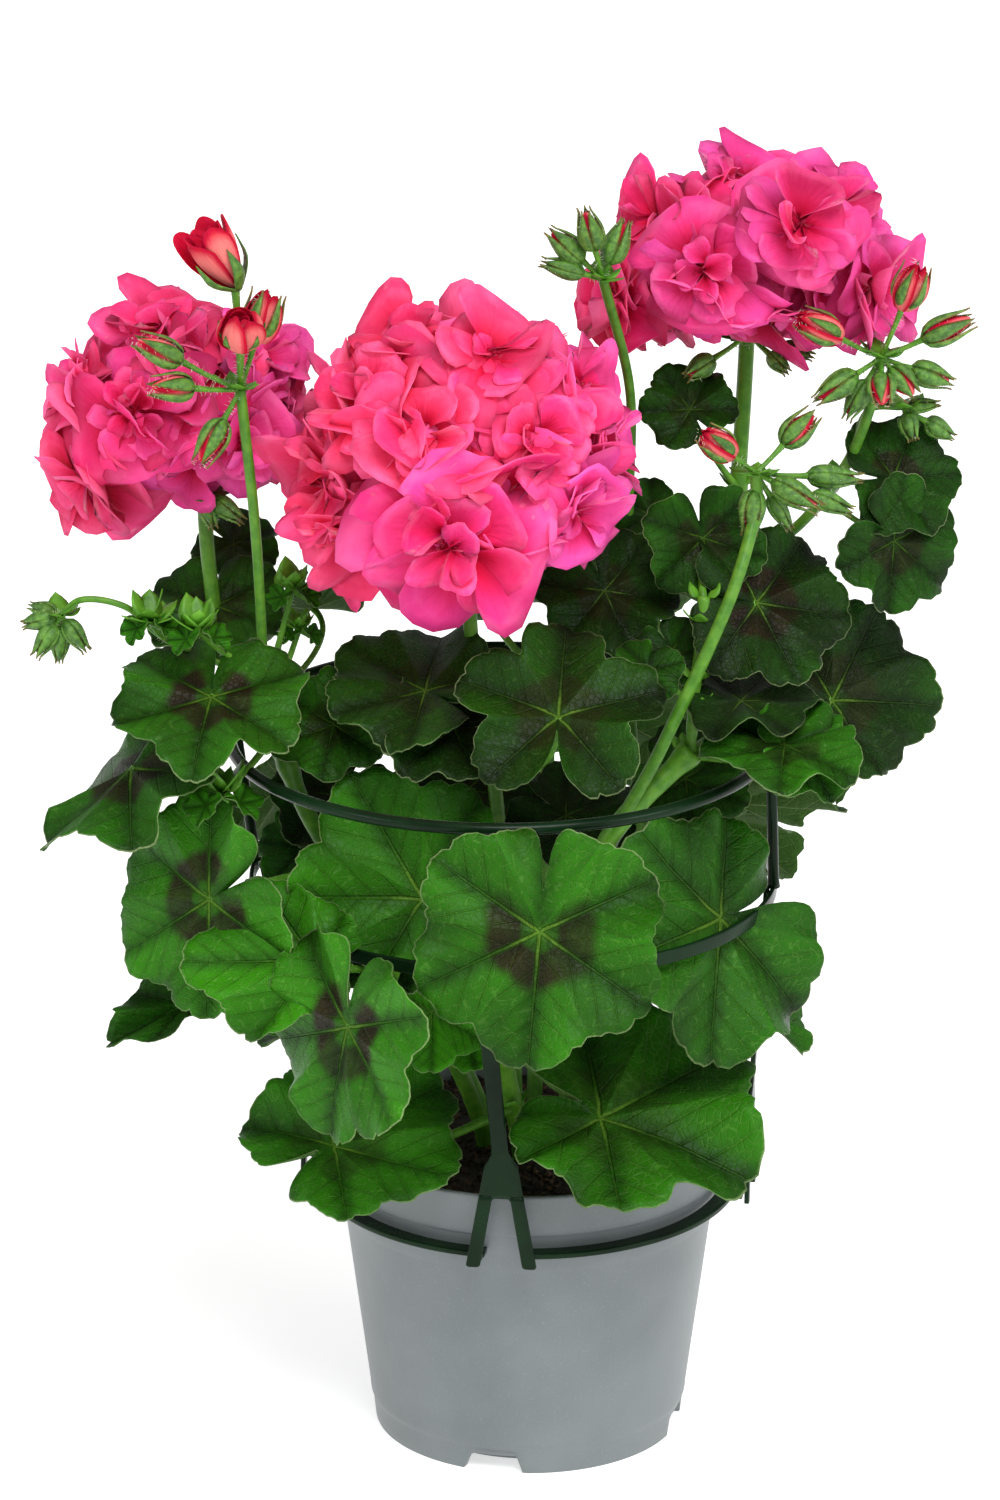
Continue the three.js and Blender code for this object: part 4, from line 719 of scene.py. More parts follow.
def floret(heap, place, facing, radius, hue, rng, layers=LAYERS):
    """A semi-double floret: layers of petals, each turned, sized, lifted and bent a little differently. One
    that faces up lies flatter."""
    tip, side, face = axes = blade_axes(*facing)
    calm = 0.5 if layers is OPEN else 1
    for count, shift, long, half, lift, curl, layer in layers:
        for i in range(count):
            turn = 2 * np.pi * (i + shift + rng.uniform(-0.32, 0.32)) / count
            length = radius * long * rng.uniform(0.8, 1.1)
            rise = radius * (lift + rng.uniform(-0.24, 0.24) * calm) * (1 - 0.45 * max(0, face[2]))
            look = (*np.clip(hue + rng.uniform((-0.2, -0.25), (0.2, 0.25)), 0, 1), layer)
            aside = (tip * rng.uniform(-1, 1) + side * rng.uniform(-1, 1)) * radius * 0.1
            wide = radius * half * rng.uniform(0.85, 1.15)
            bend = radius * (curl + rng.uniform(-0.6, 0.3) * calm)
            petal(heap, place + aside + face * 1.5 * layer, axes, turn, length, wide, rise, bend, look, rng)


def sphere(down, turn):
    """Directions at angles down from the top and round the upright axis."""
    return each(np.sin(down) * np.cos(turn), np.sin(down) * np.sin(turn), np.cos(down))


# Florets that fill a head: how far out on the ball they sit, the height share above which they grow, the
# degrees by which they lean off, and the share of the ball and the length that make their radius
FILL = dict(out=0.93, above=-0.75, lean=18, radius=(0.34, 10.5))


def head(one, rng):
    """A flower head: the florets of the table, more of them at even steps of a spiral round the ball, the
    heart below them, and the green threads that carry them. The heart is a ball in petal colour, painted dark
    as the shade among the florets. Petals deep in the ball are painted darker and more crimson, as shade, and
    the head's lightness paints shade on the heads that stand further back."""
    heaps = {key: Heap() for key in ("petal", "stalk", "hair", "heart", "bud")}
    middle, size = np.array(one["ball"], float)
    hub, rows = np.array(one["hub"], float), np.array(one["florets"], float)
    for i, row in enumerate(rows):
        floret(heaps["petal"], row[:3], row[3:6], row[6], row[7:], rng, OPEN if i == 0 else LAYERS)
    steps = np.arange(one["more"])
    up = 1 - 2 * (steps + 0.5) / one["more"]
    radius = FILL["radius"][0] * size.mean() + FILL["radius"][1]
    for spot in sphere(np.arccos(up), steps * GOLDEN_ANGLE + 0.4)[up > FILL["above"]]:
        place = middle + spot * size * FILL["out"]
        near = np.argmin(np.linalg.norm(rows[:, :3] - place, axis=1))
        facing = np.degrees([np.arctan2(spot[0], -spot[1]), np.arcsin(spot[2])])
        facing = (*facing + rng.uniform(-FILL["lean"], FILL["lean"], 2), rng.uniform(0, 360))
        floret(heaps["petal"], place, facing, radius, rows[near, 7:], rng, LAYERS[:2])
    # Painted shade: petals deeper in the ball darker and more crimson, and a head further back darker all
    # over
    depth = np.linalg.norm((np.vstack(heaps["petal"].points) - middle) / size, axis=1)
    shade = one["light"] * (0.4 + 0.6 * smooth(0.75, 1.25, depth))
    heaps["petal"].tint = [np.vstack(heaps["petal"].tint) * each(shade ** 0.5, 1, shade, 1)]
    # The heart: a ball in petal colour that fills the gaps, painted dark (lightness 0.6) as the shade among
    # the florets
    down, turn = np.linspace(0.06, np.pi - 0.06, 24)[:, None], full_turn(40)
    bump = 0.7 + 0.035 * np.sin(5 * turn + 3 * down) * np.sin(4 * down)
    heart = middle + sphere(down, turn) * size * bump[..., None]
    heaps["heart"].skin(heart, (0.1, 0.3, 0.6, 0), (0.1, 0.2, 0.5, 1))
    for row in rows:
        centre, face = row[:3], blade_axes(*row[3:6])[2]
        path = bezier(hub, (hub + centre) / 2 - 6 * face, centre - 1.5 * face, 14)
        heaps["stalk"].skin(tube(path, 0.9, 8), (rng.uniform(0, 1), 0.2, 1.1, 0))
        sepals(heaps["stalk"], centre - 7 * face, (*square_to(face, (0.2, 0.3, 1)), face), 9, 3.4, rng)
        hairs(heaps["hair"], path[:10], 0.9, 14, 1.2, rng)
    for row in one.get("under", []):
        bud(heaps, hub, row, rng)
    for turn in full_turn(8):
        out = ray(turn, -0.35)
        bract(heaps["stalk"], hub, out, rng.uniform(7, 10), rng)
        hairs(heaps["hair"], moved(hub, (np.linspace(0, 6, 6), out)), 1.4, 12, 1.3, rng)
    return heaps


def stem(one, rng):
    """A leafy stem: stalks that swell where a leaf stalk leaves them, leaves, scales, buds and shoots."""
    heaps = {key: Heap() for key in ("leaf", "stalk", "bud", "petal", "hair")}
    starts = np.array([blade["start"] for blade in one["leaves"]])
    for points, radius in one["stalks"]:
        path = spline(points, 16 * len(points))
        away = np.linalg.norm(path[:, None] - starts, axis=2).min(1)
        thick = radius * (0.88 + 0.34 * np.exp(-(away / 4) ** 2))
        heaps["stalk"].skin(tube(path, thick, 14), (rng.uniform(0, 1), 0.35, 0.9, 0))
    for blade in one["leaves"]:
        leaf_skin(heaps["leaf"], blade, rng)
        path, thick = leaf_stalk(heaps["stalk"], blade, rng)
        hairs(heaps["hair"], path, thick, 14, 0.8, rng)
        for turn in rng.uniform(0, 2 * np.pi, 2):
            out = ray(turn, 0.6)
            bract(heaps["stalk"], path[0] + 2 * out, out, 6, rng)
    for hub, buds in one.get("sprays", []):
        hub = np.array(hub, float)
        for turn in full_turn(5) + rng.uniform(0, 1):
            out = ray(turn, rng.uniform(-0.2, 0.5))
            bract(heaps["stalk"], hub + 0.5 * out, out, rng.uniform(6, 9), rng)
        for row in buds:
            (parting_bud if row[4] > PARTS else bud)(heaps, hub, row, rng)
    for foot, place, size in one.get("shoots", []):
        shoot(heaps, foot, place, size, rng)
    return heaps


def turned(profile, sides):
    """Rows of a turned shape: each point of the profile (radius, height) carried round the upright axis."""
    turn = -full_turn(sides)
    r, z = np.array(profile, float).T[..., None]
    return each(r * np.cos(turn), r * np.sin(turn), z)


# The drain notches in the pot's foot: middles in degrees, rise, arc lengths on a radius where their sides
# start and end, and the height up to which the wall above them is squeezed
NOTCHES = dict(turns=(-103, -13, 77, 167), rise=6, sides=(7.8, 9.6), radius=50, squeeze=12)


def pot():
    """The pot: a turned wall whose lower edge lifts by a rounded step over each drain notch in the foot."""
    under = [(0.5, 0), (38.6, 0), (39.1, 0.4), (41, 7), (47.2, 7), (47.4, 6.6), (47.4, 0.5), (47.7, 0)]
    outer = [(50, 0), (50.2, 0.5), (50.6, 4), (51, 8), (51.35, 9.2), (51.7, 10), (51.85, 11), (52, 13),
             (54.2, 30), (56.6, 48), (59.2, 68), (60.3, 75), (60.5, 75.6), (61, 77), (62.4, 83.5),
             (63.3, 88.2), (63.45, 88.8), (63.5, 89.2), (64.1, 89.5), (64.3, 90), (64.4, 92), (64.8, 99),
             (64.95, 102), (65, 102.7), (64.85, 103.25), (64.5, 103.5)]
    inner = [(63.9, 103.5), (63.55, 103.2), (63.4, 102.6), (63.1, 98), (62.7, 90), (58.7, 75), (48.7, 8.6),
             (39.4, 8.6), (37.4, 1.6), (0.5, 1.6)]
    rows = turned(under + outer + inner, 160)
    x, y, z = np.moveaxis(rows, -1, 0)
    away = (np.degrees(np.arctan2(y, x))[..., None] - NOTCHES["turns"] + 180) % 360 - 180
    arc = np.radians(np.abs(away).min(-1)) * NOTCHES["radius"]
    lift = NOTCHES["rise"] * (1 - smooth(*NOTCHES["sides"], arc))
    outside = np.arange(len(rows))[:, None] < len(under) + len(outer)
    low = outside & (np.hypot(x, y) > 43) & (z < 6.8)
    rows[..., 2] = np.where(low, lift + z * (1 - lift / NOTCHES["squeeze"]), z)
    heap = Heap()
    heap.skin(rows)
    return heap


# Grains of the compost: how many, the height that their middles stay below, and the form that they vary
GRAINS = 2600
GRAIN_TOP = 98.4
OCTAHEDRON = np.vstack([np.eye(3), -np.eye(3)])
OCTAHEDRON_FACES = np.array([[0, 1, 2], [1, 3, 2], [3, 4, 2], [4, 0, 2],
                             [1, 0, 5], [3, 1, 5], [4, 3, 5], [0, 4, 5]])


def mound(x, y):
    """Height of the compost: a low cone, steeper near the wall, and a few crossed waves."""
    rough = 0.5 * np.sin(0.31 * x + 1.2 * np.sin(0.2 * y)) * np.cos(0.27 * y) - 0.4
    rough = rough + 0.35 * np.sin(0.9 * x - 0.7 * y) * np.sin(0.6 * x + 1.1 * y)
    return np.interp(np.hypot(x, y), [0, 38, 62], [97.6, 96.6, 94.6]) + rough


def compost(rng):
    """Compost: a shallow mound, closed below, and grains: octahedra whose corners are pushed in and out."""
    sides, r = 96, np.linspace(1, 61.5, 34)[::-1, None]
    turn = -full_turn(sides)
    x, y = r * np.cos(turn), r * np.sin(turn)
    heap = Heap()
    below = turned([(47.8, 9.2), (58, 75), (61.8, 92)], sides)
    heap.skin(np.vstack([below, each(x, y, mound(x, y))]), (0.5, 0.5, 1, 0))
    far, way = 61 * np.sqrt(rng.uniform(0, 1, GRAINS)), rng.uniform(0, 2 * np.pi, GRAINS)
    x, y = far * np.cos(way), far * np.sin(way)
    size = rng.uniform(0.5, 1.7, GRAINS)
    middle = each(x, y, np.minimum(mound(x, y) + 0.2 * size, GRAIN_TOP))
    spin = np.linalg.qr(rng.normal(size=(GRAINS, 3, 3)))[0]
    spin *= np.sign(np.linalg.det(spin))[:, None, None]
    body = OCTAHEDRON * rng.uniform(0.6, 1.3, (GRAINS, 6, 1)) * size[:, None, None]
    shade = np.repeat(rng.uniform(0.1, 1, GRAINS), 6)
    points = np.einsum("nij,nkj->nki", spin, body) + middle[:, None]
    heap.copies(points, OCTAHEDRON_FACES, each(shade, shade, shade, 0))
    return heap


def circle(turn):
    """Points of a circle of radius one."""
    return each(np.cos(turn), np.sin(turn))


def squared(turn):
    """Points of a rounded square: the signed power 0.3 of cosine and sine."""
    return np.sign(circle(turn)) * np.abs(circle(turn)) ** 0.3


# Angles of the points round a flat bar, close together at its corners
PLATE_TURNS = np.radians([8, 25, 65, 82, 98, 115, 155, 172, 188, 205, 245, 262, 278, 295, 335, 352])
CAGE_TINT = (0.5, 0, 1, 0)
# Where the cage's uprights stand, in degrees, and its hoops
CAGE_TURNS = [-97, -8, 82, 171]
TOP, MIDDLE = dict(x=-8.7, z=236.6, r=86.9, wire=2.0), dict(x=-5.0, z=187.4, r=84.4, half=(0.8, 2.25))
# The forked plate: its radius and thickness, the height of its legs' tips, and half widths by height of its
# outside, of the gap between its legs, and of the upright above it
FORK = dict(radius=73.0, thick=1.6, low=82.5, outside=([82.5, 117.5, 120.5], [11.4, 5.3, 2.65]),
            gap=([82.5, 107], [6.8, 2.8]), upright=([117.5, 120.5, 126], [5.3, 2.75, 2.65]))
# The clamping band, and the stubs at its ends: the gap is in degrees from a fork to the band's end, the shift
# from that end to the stub
BAND = dict(radius=66.0, z=84.4, half=2.8, thick=2.0, gap=5.2)
STUB = dict(reach=(65.5, 71.8), half=1.6, thick=1.9, shift=1.4)


def plate(heap, centres, across, out, half, thick, way=1):
    """A flat bar: rounded rectangles, of a half width at each point, carried along the centres."""
    x, y = squared(PLATE_TURNS).T
    across, out = (np.broadcast_to(v, centres.shape)[:, None] for v in (across, out))
    half = np.broadcast_to(half, len(centres))[:, None]
    rows = moved(centres[:, None], (x * half, across), (-0.5 * thick * y, out))
    heap.skin(rows[:, ::way], CAGE_TINT)


def around(radius, turn, z, x=0.0):
    """A point at that radius and angle, in degrees, round an upright axis at x."""
    turn = np.radians(turn)
    return each(x + radius * np.cos(turn), radius * np.sin(turn), z)


def hoop(size, section):
    """A hoop: a closed section (radius, height) turned round the hoop's axis, its ends joined as one ring."""
    r, z = section.T
    heap = Heap()
    heap.ring(around(size["r"] + r, np.degrees(full_turn(199))[:, None], z + size["z"], size["x"]), CAGE_TINT)
    return heap


def upper_bar(turn):
    """A round bar between the hoops, which flares where it meets them."""
    t = np.linspace(0, 1, 24)
    low = around(MIDDLE["r"], turn, MIDDLE["z"] + 1.8, MIDDLE["x"])
    high = around(TOP["r"], turn, TOP["z"] - 1.2, TOP["x"])
    thick = 1.75 + 0.45 * np.exp(-t / 0.05) + 0.5 * np.exp(-(1 - t) / 0.04)
    heap = Heap()
    heap.skin(tube(moved(low, (t, high - low)), thick, 14), CAGE_TINT)
    return heap


def foot(turn):
    """A flat lower upright that widens into a forked plate, with two legs that straddle the clamping band."""
    heap = Heap()
    radius, thick = FORK["radius"], FORK["thick"]
    out = around(1.0, turn, 0.0)
    across = np.cross([0, 0, 1.0], out)
    crown = np.array([106.5, 108, 111, 114, 116.5, 117.5])
    low = around(radius, turn, 118.5)
    high = around(MIDDLE["r"] - 2.2, turn, MIDDLE["z"] + 1, MIDDLE["x"])
    bar = moved(low, (np.linspace(0, 1, 22), high - low))
    half = np.concatenate([np.interp(crown, *FORK["outside"]), np.interp(bar[:, 2], *FORK["upright"])])
    plate(heap, np.vstack([around(radius, turn, crown), bar]), across, out, half, thick, -1)
    rounding = FORK["low"] + np.array([0, 0.2, 0.7])
    z = np.concatenate([rounding, np.linspace(85, 107.4, 12)])
    wide = np.interp(z, *FORK["outside"])
    near = np.interp(z, *FORK["gap"]) - 0.8 * np.maximum(0, z - 105.8)
    half = (wide - near) / 2 * np.interp(z, rounding, [0.7, 0.88, 1])
    for side in (-1, 1):
        path = moved(around(radius, turn, z), (side * (wide + near) / 2, across))
        plate(heap, path, across, out, half, thick, -1)
    return heap


def band(start, end):
    """One arc of the clamping band, whose ends turn outwards as stubs to the fork."""
    heap = Heap()
    turn = np.linspace(start + BAND["gap"], end - BAND["gap"], 60)
    path = around(BAND["radius"], turn, BAND["z"])
    out = around(1.0, turn, 0.0)
    plate(heap, path, out, np.cross(out, unit(np.gradient(path, axis=0))), BAND["half"], BAND["thick"])
    for edge, way in ((turn[0], 1), (turn[-1], -1)):
        stub = around(np.linspace(*STUB["reach"], 6), edge + way * STUB["shift"], BAND["z"])
        plate(heap, stub, around(1.0, edge + 90, 0.0), np.array([0, 0, 1.0]), STUB["half"], STUB["thick"])
    return heap


class Wire:
    """A shader socket that does sums: its operators add Math nodes to the tree that it belongs to."""

    def __init__(self, finish, out):
        self.finish, self.out = finish, out

    def __add__(self, b):
        return self.finish.math("ADD", self, b)

    __radd__ = __add__

    def __sub__(self, b):
        return self.finish.math("SUBTRACT", self, b)

    def __rsub__(self, b):
        return self.finish.math("SUBTRACT", b, self)

    def __mul__(self, b):
        return self.finish.math("MULTIPLY", self, b)

    __rmul__ = __mul__

    def __truediv__(self, b):
        return self.finish.math("DIVIDE", self, b)

    def other(self, key):
        """Another output of the same node."""
        return Wire(self.finish, self.out.node.outputs[key])

    def ease(self, low, high):
        """0 below low, 1 above high and smooth between."""
        settings = {"interpolation_type": "SMOOTHSTEP"}
        return self.finish.node("MapRange", settings, {"Value": self, "From Min": low, "From Max": high})

    def fade(self, low, high):
        """1 below low, 0 above high and smooth between."""
        return 1 - self.ease(low, high)


def tone(code):
    """A hexadecimal sRGB colour as linear light."""
    parts = np.array([int(code[i:i + 2], 16) for i in (1, 3, 5)]) / 255
    light = np.where(parts <= 0.04045, parts / 12.92, ((parts + 0.055) / 1.055) ** 2.4)
    return (*light, 1.0)


class Finish:
    """A material; node() adds any node from its type, its settings and the values or links of its sockets. A
    text as a value is a colour's code."""

    def __init__(self, name):
        self.material = bpy.data.materials.new(name)
        self.material.use_nodes = True
        self.tree = self.material.node_tree
        self.tree.nodes.clear()

    def node(self, kind, settings=None, inputs=None, out=0):
        made = self.tree.nodes.new("ShaderNode" + kind)
        for key, value in (settings or {}).items():
            setattr(made, key, value)
        for key, value in (inputs or {}).items():
            if isinstance(value, Wire):
                self.tree.links.new(value.out, made.inputs[key])
            else:
                made.inputs[key].default_value = tone(value) if isinstance(value, str) else value
        return Wire(self, made.outputs[out])

    def math(self, kind, *values):
        return self.node("Math", {"operation": kind}, dict(enumerate(values)))

    def vector(self, x, y, z):
        return self.node("CombineXYZ", None, {"X": x, "Y": y, "Z": z})

    def attribute(self, name):
        """Red, green, blue and alpha of a mesh attribute."""
        made = self.node("Attribute", {"attribute_name": name})
        split = self.node("SeparateColor", None, {"Color": made})
        return [split, split.other(1), split.other(2), made.other("Alpha")]

    def place(self):
        """Object coordinates."""
        return self.node("TexCoord", out="Object")

    def mix(self, share, a, b):
        """From colour a to colour b by a share."""
        settings = {"data_type": "RGBA", "clamp_factor": True}
        return self.node("Mix", settings, {0: share, 6: a, 7: b}, out=2)

    def tinted(self, colour, light):
        """A colour times a value."""
        colour = colour if isinstance(colour, Wire) else tone(colour)[:3]
        return self.node("VectorMath", {"operation": "SCALE"}, {0: colour, "Scale": light})

    def coats(self, base, *coats):
        """A base colour under coats, each of which covers it by a share: pairs of a share and a colour."""
        for share, colour in coats:
            base = self.mix(share, base, colour)
        return base

    def noise(self, scale, where, detail=3.0, rough=0.6):
        inputs = {"Vector": where, "Scale": scale, "Detail": detail, "Roughness": rough}
        return self.node("TexNoise", None, inputs)

    def done(self, colour, rough, gloss=0.5, soft=None, glow=None, height=None, depth=0.0):
        """Joins colour, roughness and bump to the surface; plain numbers are set on the shader's own sockets.
        Soft is the weight, scale and radius of light that spreads inside, glow the colour and strength of
        emission, and depth what a height of 1 stands out by."""
        sockets = {"Base Color": colour, "Roughness": rough, "Specular IOR Level": gloss}
        sockets.update(zip(("Subsurface Weight", "Subsurface Scale", "Subsurface Radius"), soft or ()))
        sockets.update(zip(("Emission Color", "Emission Strength"), glow or ()))
        if height is not None:
            inputs = {"Height": height, "Distance": depth, "Strength": 1.0}
            sockets["Normal"] = self.node("Bump", None, inputs)
        surface = self.node("BsdfPrincipled", None, sockets)
        end = self.tree.nodes.new("ShaderNodeOutputMaterial")
        self.tree.links.new(surface.out, end.inputs["Surface"])
        return self.material


def leaf_finish():
    """Leaf: light veins that fan from the stalk, a brown horseshoe, a pale margin and a dull underside."""
    f = Finish("geranium_leaf")
    share, zone, light, under = f.attribute("tint")
    warm, chance, other, bare = f.attribute("mood")
    uv = f.node("UVMap", {"uv_map": "UVMap"})
    split = f.node("SeparateXYZ", None, {"Vector": uv})
    u, v = (split - 0.5) / 0.4, (split.other(1) - 0.5) / 0.4
    r = f.math("SQRT", u * u + v * v)
    turn = f.math("ARCTAN2", v, u) * (180 / math.pi)
    wide = f.math("ABSOLUTE", turn)
    spot = f.node("VectorMath", {"operation": "ADD"}, {0: uv, 1: f.vector(chance * 7, other * 9, chance * 5)})
    blotch = f.noise(3.0, spot, 4)
    # Veins: the distance from the nearest lobe's middle line, and slanted ones between them
    bend = (turn / 60 - f.math("ROUND", turn / 60)) * (math.pi / 3)
    away = f.math("ABSOLUTE", f.math("SINE", bend) * r)
    along = f.math("COSINE", bend) * r
    side = f.math("SIGN", bend)
    there = wide.fade(138, 152)
    main = (away / (0.017 - 0.011 * share)).fade(0.5, 1.3) * there * share.fade(0.93, 1.0)
    near = f.math("PINGPONG", (along - 0.95 * away) / 0.19 + side * 0.25 + chance, 0.5)
    second = near.fade(0.015, 0.07) * there * away.ease(0.0, 0.03) * share.fade(0.85, 0.96)
    net = f.node("TexVoronoi", {"feature": "DISTANCE_TO_EDGE"}, {"Vector": uv, "Scale": 52.0})
    net = net.fade(0.01, 0.10)
    # The greens by the lightness, which carries the swells' painted light and shade, and on them the brown
    # horseshoe, the green inside it and the veins
    spread = share * 0.5 + r * 0.5 + (blotch - 0.5) * 0.16
    patch = (0.35 + 0.65 * away.ease(0.006, 0.03)) * (0.75 + 0.25 * blotch.ease(0.38, 0.55))
    ring = spread.ease(0.11, 0.18) * spread.fade(0.37, 0.49) * (wide + bare * 30).fade(140, 175) * patch
    base = f.coats(
        f.mix((light + (blotch - 0.5) * 0.8).ease(0.2, 1.7), "#081303", "#235e07"),
        (warm * 0.5, f.tinted("#347d09", light)),
        (net * 0.1, f.tinted("#6f9a45", light)),
        (away.fade(0.0, 0.08) * there * share.fade(0.1, 0.6) * 0.08, "#6f9a3c"),
        (ring * zone * 0.95, "#20120c"),
        (spread.fade(0.02, 0.13) * 0.5, "#63a024"),
        (main * (0.05 + 0.5 * share.fade(0.02, 0.32)) + second * 0.03, "#86b53c"))
    # Painted shade: darker along the main and slanted veins, where the blade creases; a random blotchy tone;
    # then the margin and the underside
    painted_shade_and_blotch = 0.48 + 0.6 * away.ease(0.0, 0.13) + near.ease(0.0, 0.3) * 0.16 + (blotch - 0.5) * 0.9
    # Painted light and shade: one half of each lobe lighter and the other darker, as if lit from one side
    base = f.tinted(base, painted_shade_and_blotch + side * away.ease(0.0, 0.12) * 0.12)
    base = f.mix(share.ease(0.982, 1.0) * blotch.ease(0.3, 0.6) * 0.55, base, "#9fb07c")
    dull = f.mix(main * 0.6 + second * 0.25 + net * 0.10, "#3f6128", "#86a55c")
    base = f.mix(under, base, f.tinted(dull, light * 0.7 + 0.25))
    grain = f.noise(800.0, f.place())
    height = grain * 0.35 + net * -0.30 + main * -1.2 + second * -0.5 + blotch * 1.5
    rough = 0.40 + (grain - 0.5) * 0.25 + under * 0.3
    return f.done(base, rough, 0.11, (0.06, 0.002, (0.4, 1.0, 0.2)), height=height, depth=0.0006)


def stalk_finish():
    """Stalks, sepals and scales: pale green, redder at their joints, with fine lengthwise mottling."""
    f = Finish("geranium_stalk")
    chance, red, light, _ = f.attribute("tint")
    mottle = f.noise(240.0, f.place())
    green = f.mix(mottle.ease(0.3, 0.7), "#437a1a", "#5d9828")
    base = f.mix(red * 0.25 * mottle.ease(0.4, 0.75), green, "#7d5230")
    base = f.tinted(base, light * 0.85 + chance * 0.2)
    rough = 0.35 + mottle * 0.15
    return f.done(base, rough, 0.3, (0.08, 0.002, (0.5, 1.0, 0.2)), height=mottle, depth=0.0002)


def bud_finish():
    """Bud sepals: mottled green, with edges and tips that turn red brown, more so in the ripe ones."""
    f = Finish("geranium_bud")
    along, seam, light, _ = f.attribute("tint")
    ripe = f.attribute("mood")[0]
    mottle = f.noise(500.0, f.place())
    base = f.coats(
        f.mix(mottle.ease(0.3, 0.7), "#2c5c12", "#619230"),
        (seam.fade(0.0, 0.5) * 0.25, "#2f5a18"),
        (seam.ease(0.55, 1.0) * along.ease(0.15, 0.6) * (0.1 + 0.55 * ripe), "#b4553c"),
        (along.ease(0.8, 1.0) * 0.5, "#8d4a2e"))
    return f.done(f.tinted(base, light), 0.5 + mottle * 0.1, soft=(0.08, 0.002, (1.0, 0.7, 0.3)),
                  height=mottle + seam * -0.6, depth=0.0004)


def petal_finish():
    """Petals: crimson at the claw, pink to the rim, with fine darker veins that run out along each petal;
    painted crimson shade where layers lie over each other and where the painted lightness is low.
    """
    f = Finish("geranium_petal")
    t, _, light, under = f.attribute("tint")
    salmon, mauve, chance, layer = f.attribute("mood")
    w = f.node("SeparateXYZ", None, {"Vector": f.node("UVMap", {"uv_map": "UVMap"})}, out=1)
    streak = f.noise(1.0, f.vector(t * 3 + chance * 17, w * 22 + chance * 31, chance * 11), 3, 0.55)
    soft = f.noise(3.5, f.vector(t + chance * 9, w, chance * 23), 2)
    body = f.coats(
        f.mix(t.ease(0.1, 0.9), "#d8022f", "#ee2470"),
        (mauve * 0.85, f.mix(t.ease(0.1, 0.8), "#d80f60", "#ea55b0")),
        (salmon * 0.8, f.mix(t.ease(0.1, 0.9), "#e0152f", "#f54c5e")),
        (t.ease(0.6, 1.0) * soft.ease(0.35, 0.7) * 0.4, "#fb82b4"),
        (salmon.ease(1.1, 1.4) * t.ease(0.25, 0.9), "#ec7873"),
        # Crimson from the claw, reaching further out on outer layers: partly the petal's own colour, partly
        # painted shade under the inner layers
        ((t + layer * 0.3).fade(0.15, 0.8) * 0.85, "#b3022a"),
        (streak.ease(0.5, 0.7) * t.fade(0.4, 0.95) * 0.45, "#c40b43"),
        # Painted shade: deep crimson where the painted lightness is low
        (light.fade(0.45, 0.95) * 0.7, "#bd0434"),
        (layer * 0.2, "#f01f55"),
        (under * 0.22, "#f78aa6"))
    # Lightness, which carries the painted shade of depth and waves, with a soft random tone
    body = f.tinted(body, light * (0.9 + 0.16 * soft))
    # A faint glow in the petals' own colour: painted light that stands in for light shining through them
    return f.done(body, 0.55 + streak * 0.1, 0.1, (0.2, 0.003, (1.0, 0.3, 0.4)), (body, 0.04),
                  streak + soft * 0.6, 0.0005)


def hair_finish():
    """Fine hairs: pale, nearly white green."""
    f = Finish("plant_hair")
    shade = f.noise(120.0, f.place(), 1)
    return f.done(f.mix(shade, "#c8d3a8", "#eef0dd"), 0.5 + 0.1 * shade)


def pot_finish():
    """Pot: blue-grey plastic with a soft gloss, faint cloudiness, fine grain and dust near its foot."""
    f = Finish("grey_pot_plastic")
    where = f.place()
    height = f.node("SeparateXYZ", None, {"Vector": where}, out=2)
    cloud, grain = f.noise(18.0, where, 4), f.noise(1400.0, where, 2)
    base = f.coats(
        f.mix(cloud.ease(0.3, 0.7), "#636a6c", "#6f7678"),
        (grain.ease(0.55, 0.8) * 0.10, "#c3c9ca"),
        (height.fade(0.0, 0.02) * cloud * 0.25, "#777b78"))
    rough = 0.40 + (cloud - 0.5) * 0.12 + (grain - 0.5) * 0.12
    return f.done(base, rough, height=grain * 0.5 + cloud * 0.5, depth=0.0001)


def cage_finish():
    """Cage: dark green moulded plastic, glossy, with faint flow marks."""
    f = Finish("green_cage_plastic")
    where = f.place()
    cloud, grain = f.noise(40.0, where), f.noise(1100.0, where, 2)
    base = f.mix(cloud.ease(0.3, 0.7), "#081a0a", "#102a14")
    rough = 0.25 + (cloud - 0.5) * 0.14 + (grain - 0.5) * 0.06
    return f.done(base, rough, 0.12, height=grain * 0.4 + cloud, depth=0.00012)


def compost_finish():
    """Compost: damp brown crumbs from near black to bark brown."""
    f = Finish("dark_compost")
    where = f.place()
    shade = f.attribute("tint")[0]
    clump, crumb = f.noise(160.0, where, 4), f.noise(900.0, where, 4)
    base = f.mix(clump.ease(0.3, 0.7), "#120c08", "#34231a")
    base = f.mix((shade * 0.7 + crumb * 0.4).ease(0.62, 0.95), base, "#5d4330")
    return f.done(base, 0.85 + (crumb - 0.5) * 0.2, height=crumb + clump, depth=0.0012)


def floor_finish():
    """Floor: plain off-white."""
    f = Finish("pale_floor")
    cloud = f.noise(0.6, f.place(), 2)
    return f.done(f.mix(cloud, "#dcdcdc", "#e0e0e0"), 0.7 + cloud * 0.02, glow=((1.0, 1.0, 1.0, 1.0), 0.6))


FLOOR_HALF = 12.0
LAMP_AIM = (0, 0, 0.22)
# Lamps: place, size (degrees of a sun, metres of an area), power, kind
LAMPS = {"sky": ((0.4, -1.5, 2.3), 30, 2.3, "SUN"), "left": ((-1.9, -1.2, 1.2), 0.8, 9, "AREA"),
         "right": ((1.9, -1.1, 1.1), 0.8, 14, "AREA")}
# The camera looks down by this angle on this point, from this far
CAMERA_TILT, CAMERA_AIM, CAMERA_FAR = math.radians(19.7), np.array([-0.00925, 0, 0.2316]), 2.5


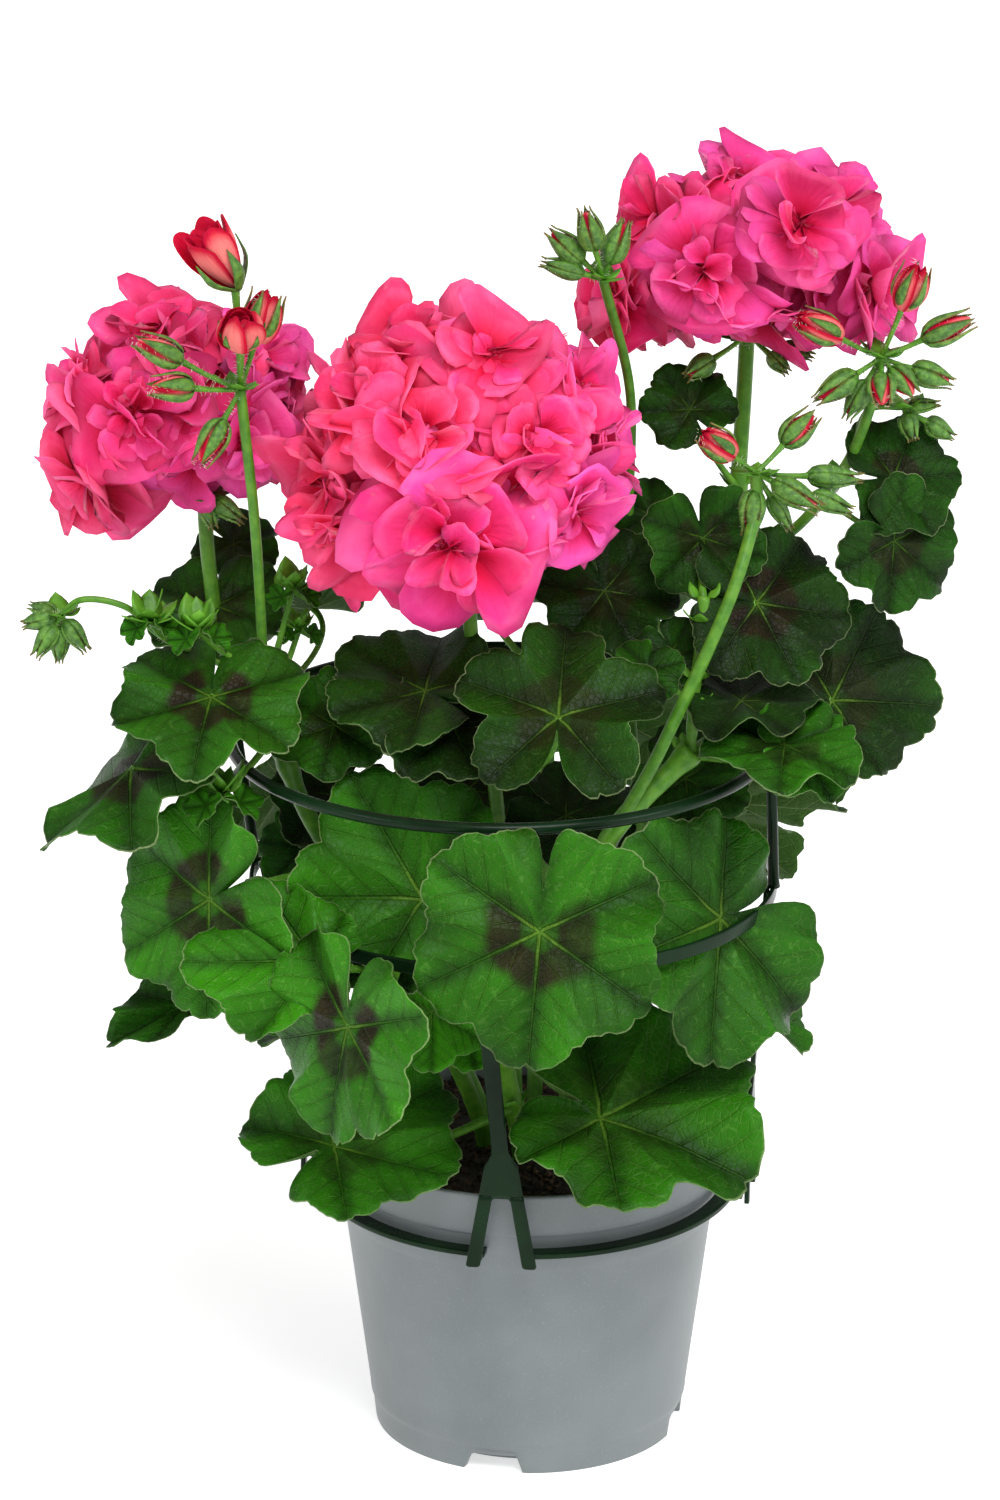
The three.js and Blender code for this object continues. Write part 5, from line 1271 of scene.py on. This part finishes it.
def studio():
    """A pale floor, soft lights from the upper left, the right and above, and the photograph's camera."""
    mesh = bpy.data.meshes.new("floor")
    corners = [(x * FLOOR_HALF, y * FLOOR_HALF, 0) for x, y in ((-1, -1), (1, -1), (1, 1), (-1, 1))]
    mesh.from_pydata(corners, [], [(0, 1, 2, 3)])
    mesh.materials.append(floor_finish())
    floor = linked("floor", mesh)
    for name, (place, size, power, kind) in LAMPS.items():
        lamp = bpy.data.lights.new(name, kind)
        lamp.energy = power
        if kind == "SUN":
            lamp.angle = math.radians(size)
        else:
            lamp.size = size
        thing = linked(name, lamp)
        thing.location = place
        x, y, z = np.subtract(LAMP_AIM, place)
        thing.rotation_euler = (math.atan2(math.hypot(x, y), -z), 0, math.atan2(-x, y))
    scene = bpy.context.scene
    scene.world = bpy.data.worlds.new("studio")
    scene.world.use_nodes = True
    sky = scene.world.node_tree.nodes["Background"].inputs
    sky["Color"].default_value = (1, 1, 1, 1)
    sky["Strength"].default_value = 0.5
    scene.view_settings.view_transform = "Standard"
    camera = bpy.data.cameras.new("camera")
    camera.sensor_fit, camera.sensor_height, camera.lens = "VERTICAL", 36.0, 187.06
    camera.clip_end = 50
    scene.camera = linked("camera", camera)
    back = CAMERA_FAR * np.array([0, -math.cos(CAMERA_TILT), math.sin(CAMERA_TILT)])
    scene.camera.location = CAMERA_AIM + back
    scene.camera.rotation_euler = (math.pi / 2 - CAMERA_TILT, 0, 0)


studio()
CAGE, PETAL = cage_finish(), petal_finish()
# What a plant's heaps are called, their finish and their slot
HEAPS = {"leaf": ("leaves", leaf_finish(), "foliage"), "stalk": ("stalks", stalk_finish(), "foliage"),
         "bud": ("buds", bud_finish(), "foliage"), "hair": ("hairs", hair_finish(), "foliage"),
         "petal": ("petals", PETAL, "petals"), "heart": ("heart", PETAL, "petals")}

pot().piece("round_pot", pot_finish(), ["pot"], "pot_plastic")
compost(np.random.default_rng(5)).piece("compost_mound", compost_finish(), ["compost"], "compost")
wire, flat = TOP["wire"] * circle(full_turn(16)), squared(full_turn(16) + 0.2) * MIDDLE["half"]
hoop(TOP, wire).piece("top_hoop", CAGE, ["cage_top_hoop"], "cage_plastic")
hoop(MIDDLE, flat).piece("middle_hoop", CAGE, ["cage_middle_hoop"], "cage_plastic")
for i, (turn, after) in enumerate(zip(CAGE_TURNS, CAGE_TURNS[1:] + [CAGE_TURNS[0] + 360]), 1):
    upper_bar(turn).piece(f"upper_bar_{i}", CAGE, [f"cage_upper_bar_{i}"], "cage_plastic")
    foot(turn).piece(f"forked_foot_{i}", CAGE, [f"cage_foot_{i}"], "cage_plastic")
    band(turn, after).piece(f"band_arc_{i}", CAGE, [f"cage_band_{i}"], "cage_plastic")
for grow, table, seed in ((stem, STEMS, 100), (head, HEADS, 200)):
    for number, (name, one) in enumerate(table.items(), seed):
        for key, heap in grow(one, np.random.default_rng(number)).items():
            if heap.count:
                label, finish, slot = HEAPS[key]
                heap.piece(f"{name}_{label}", finish, [name], slot)
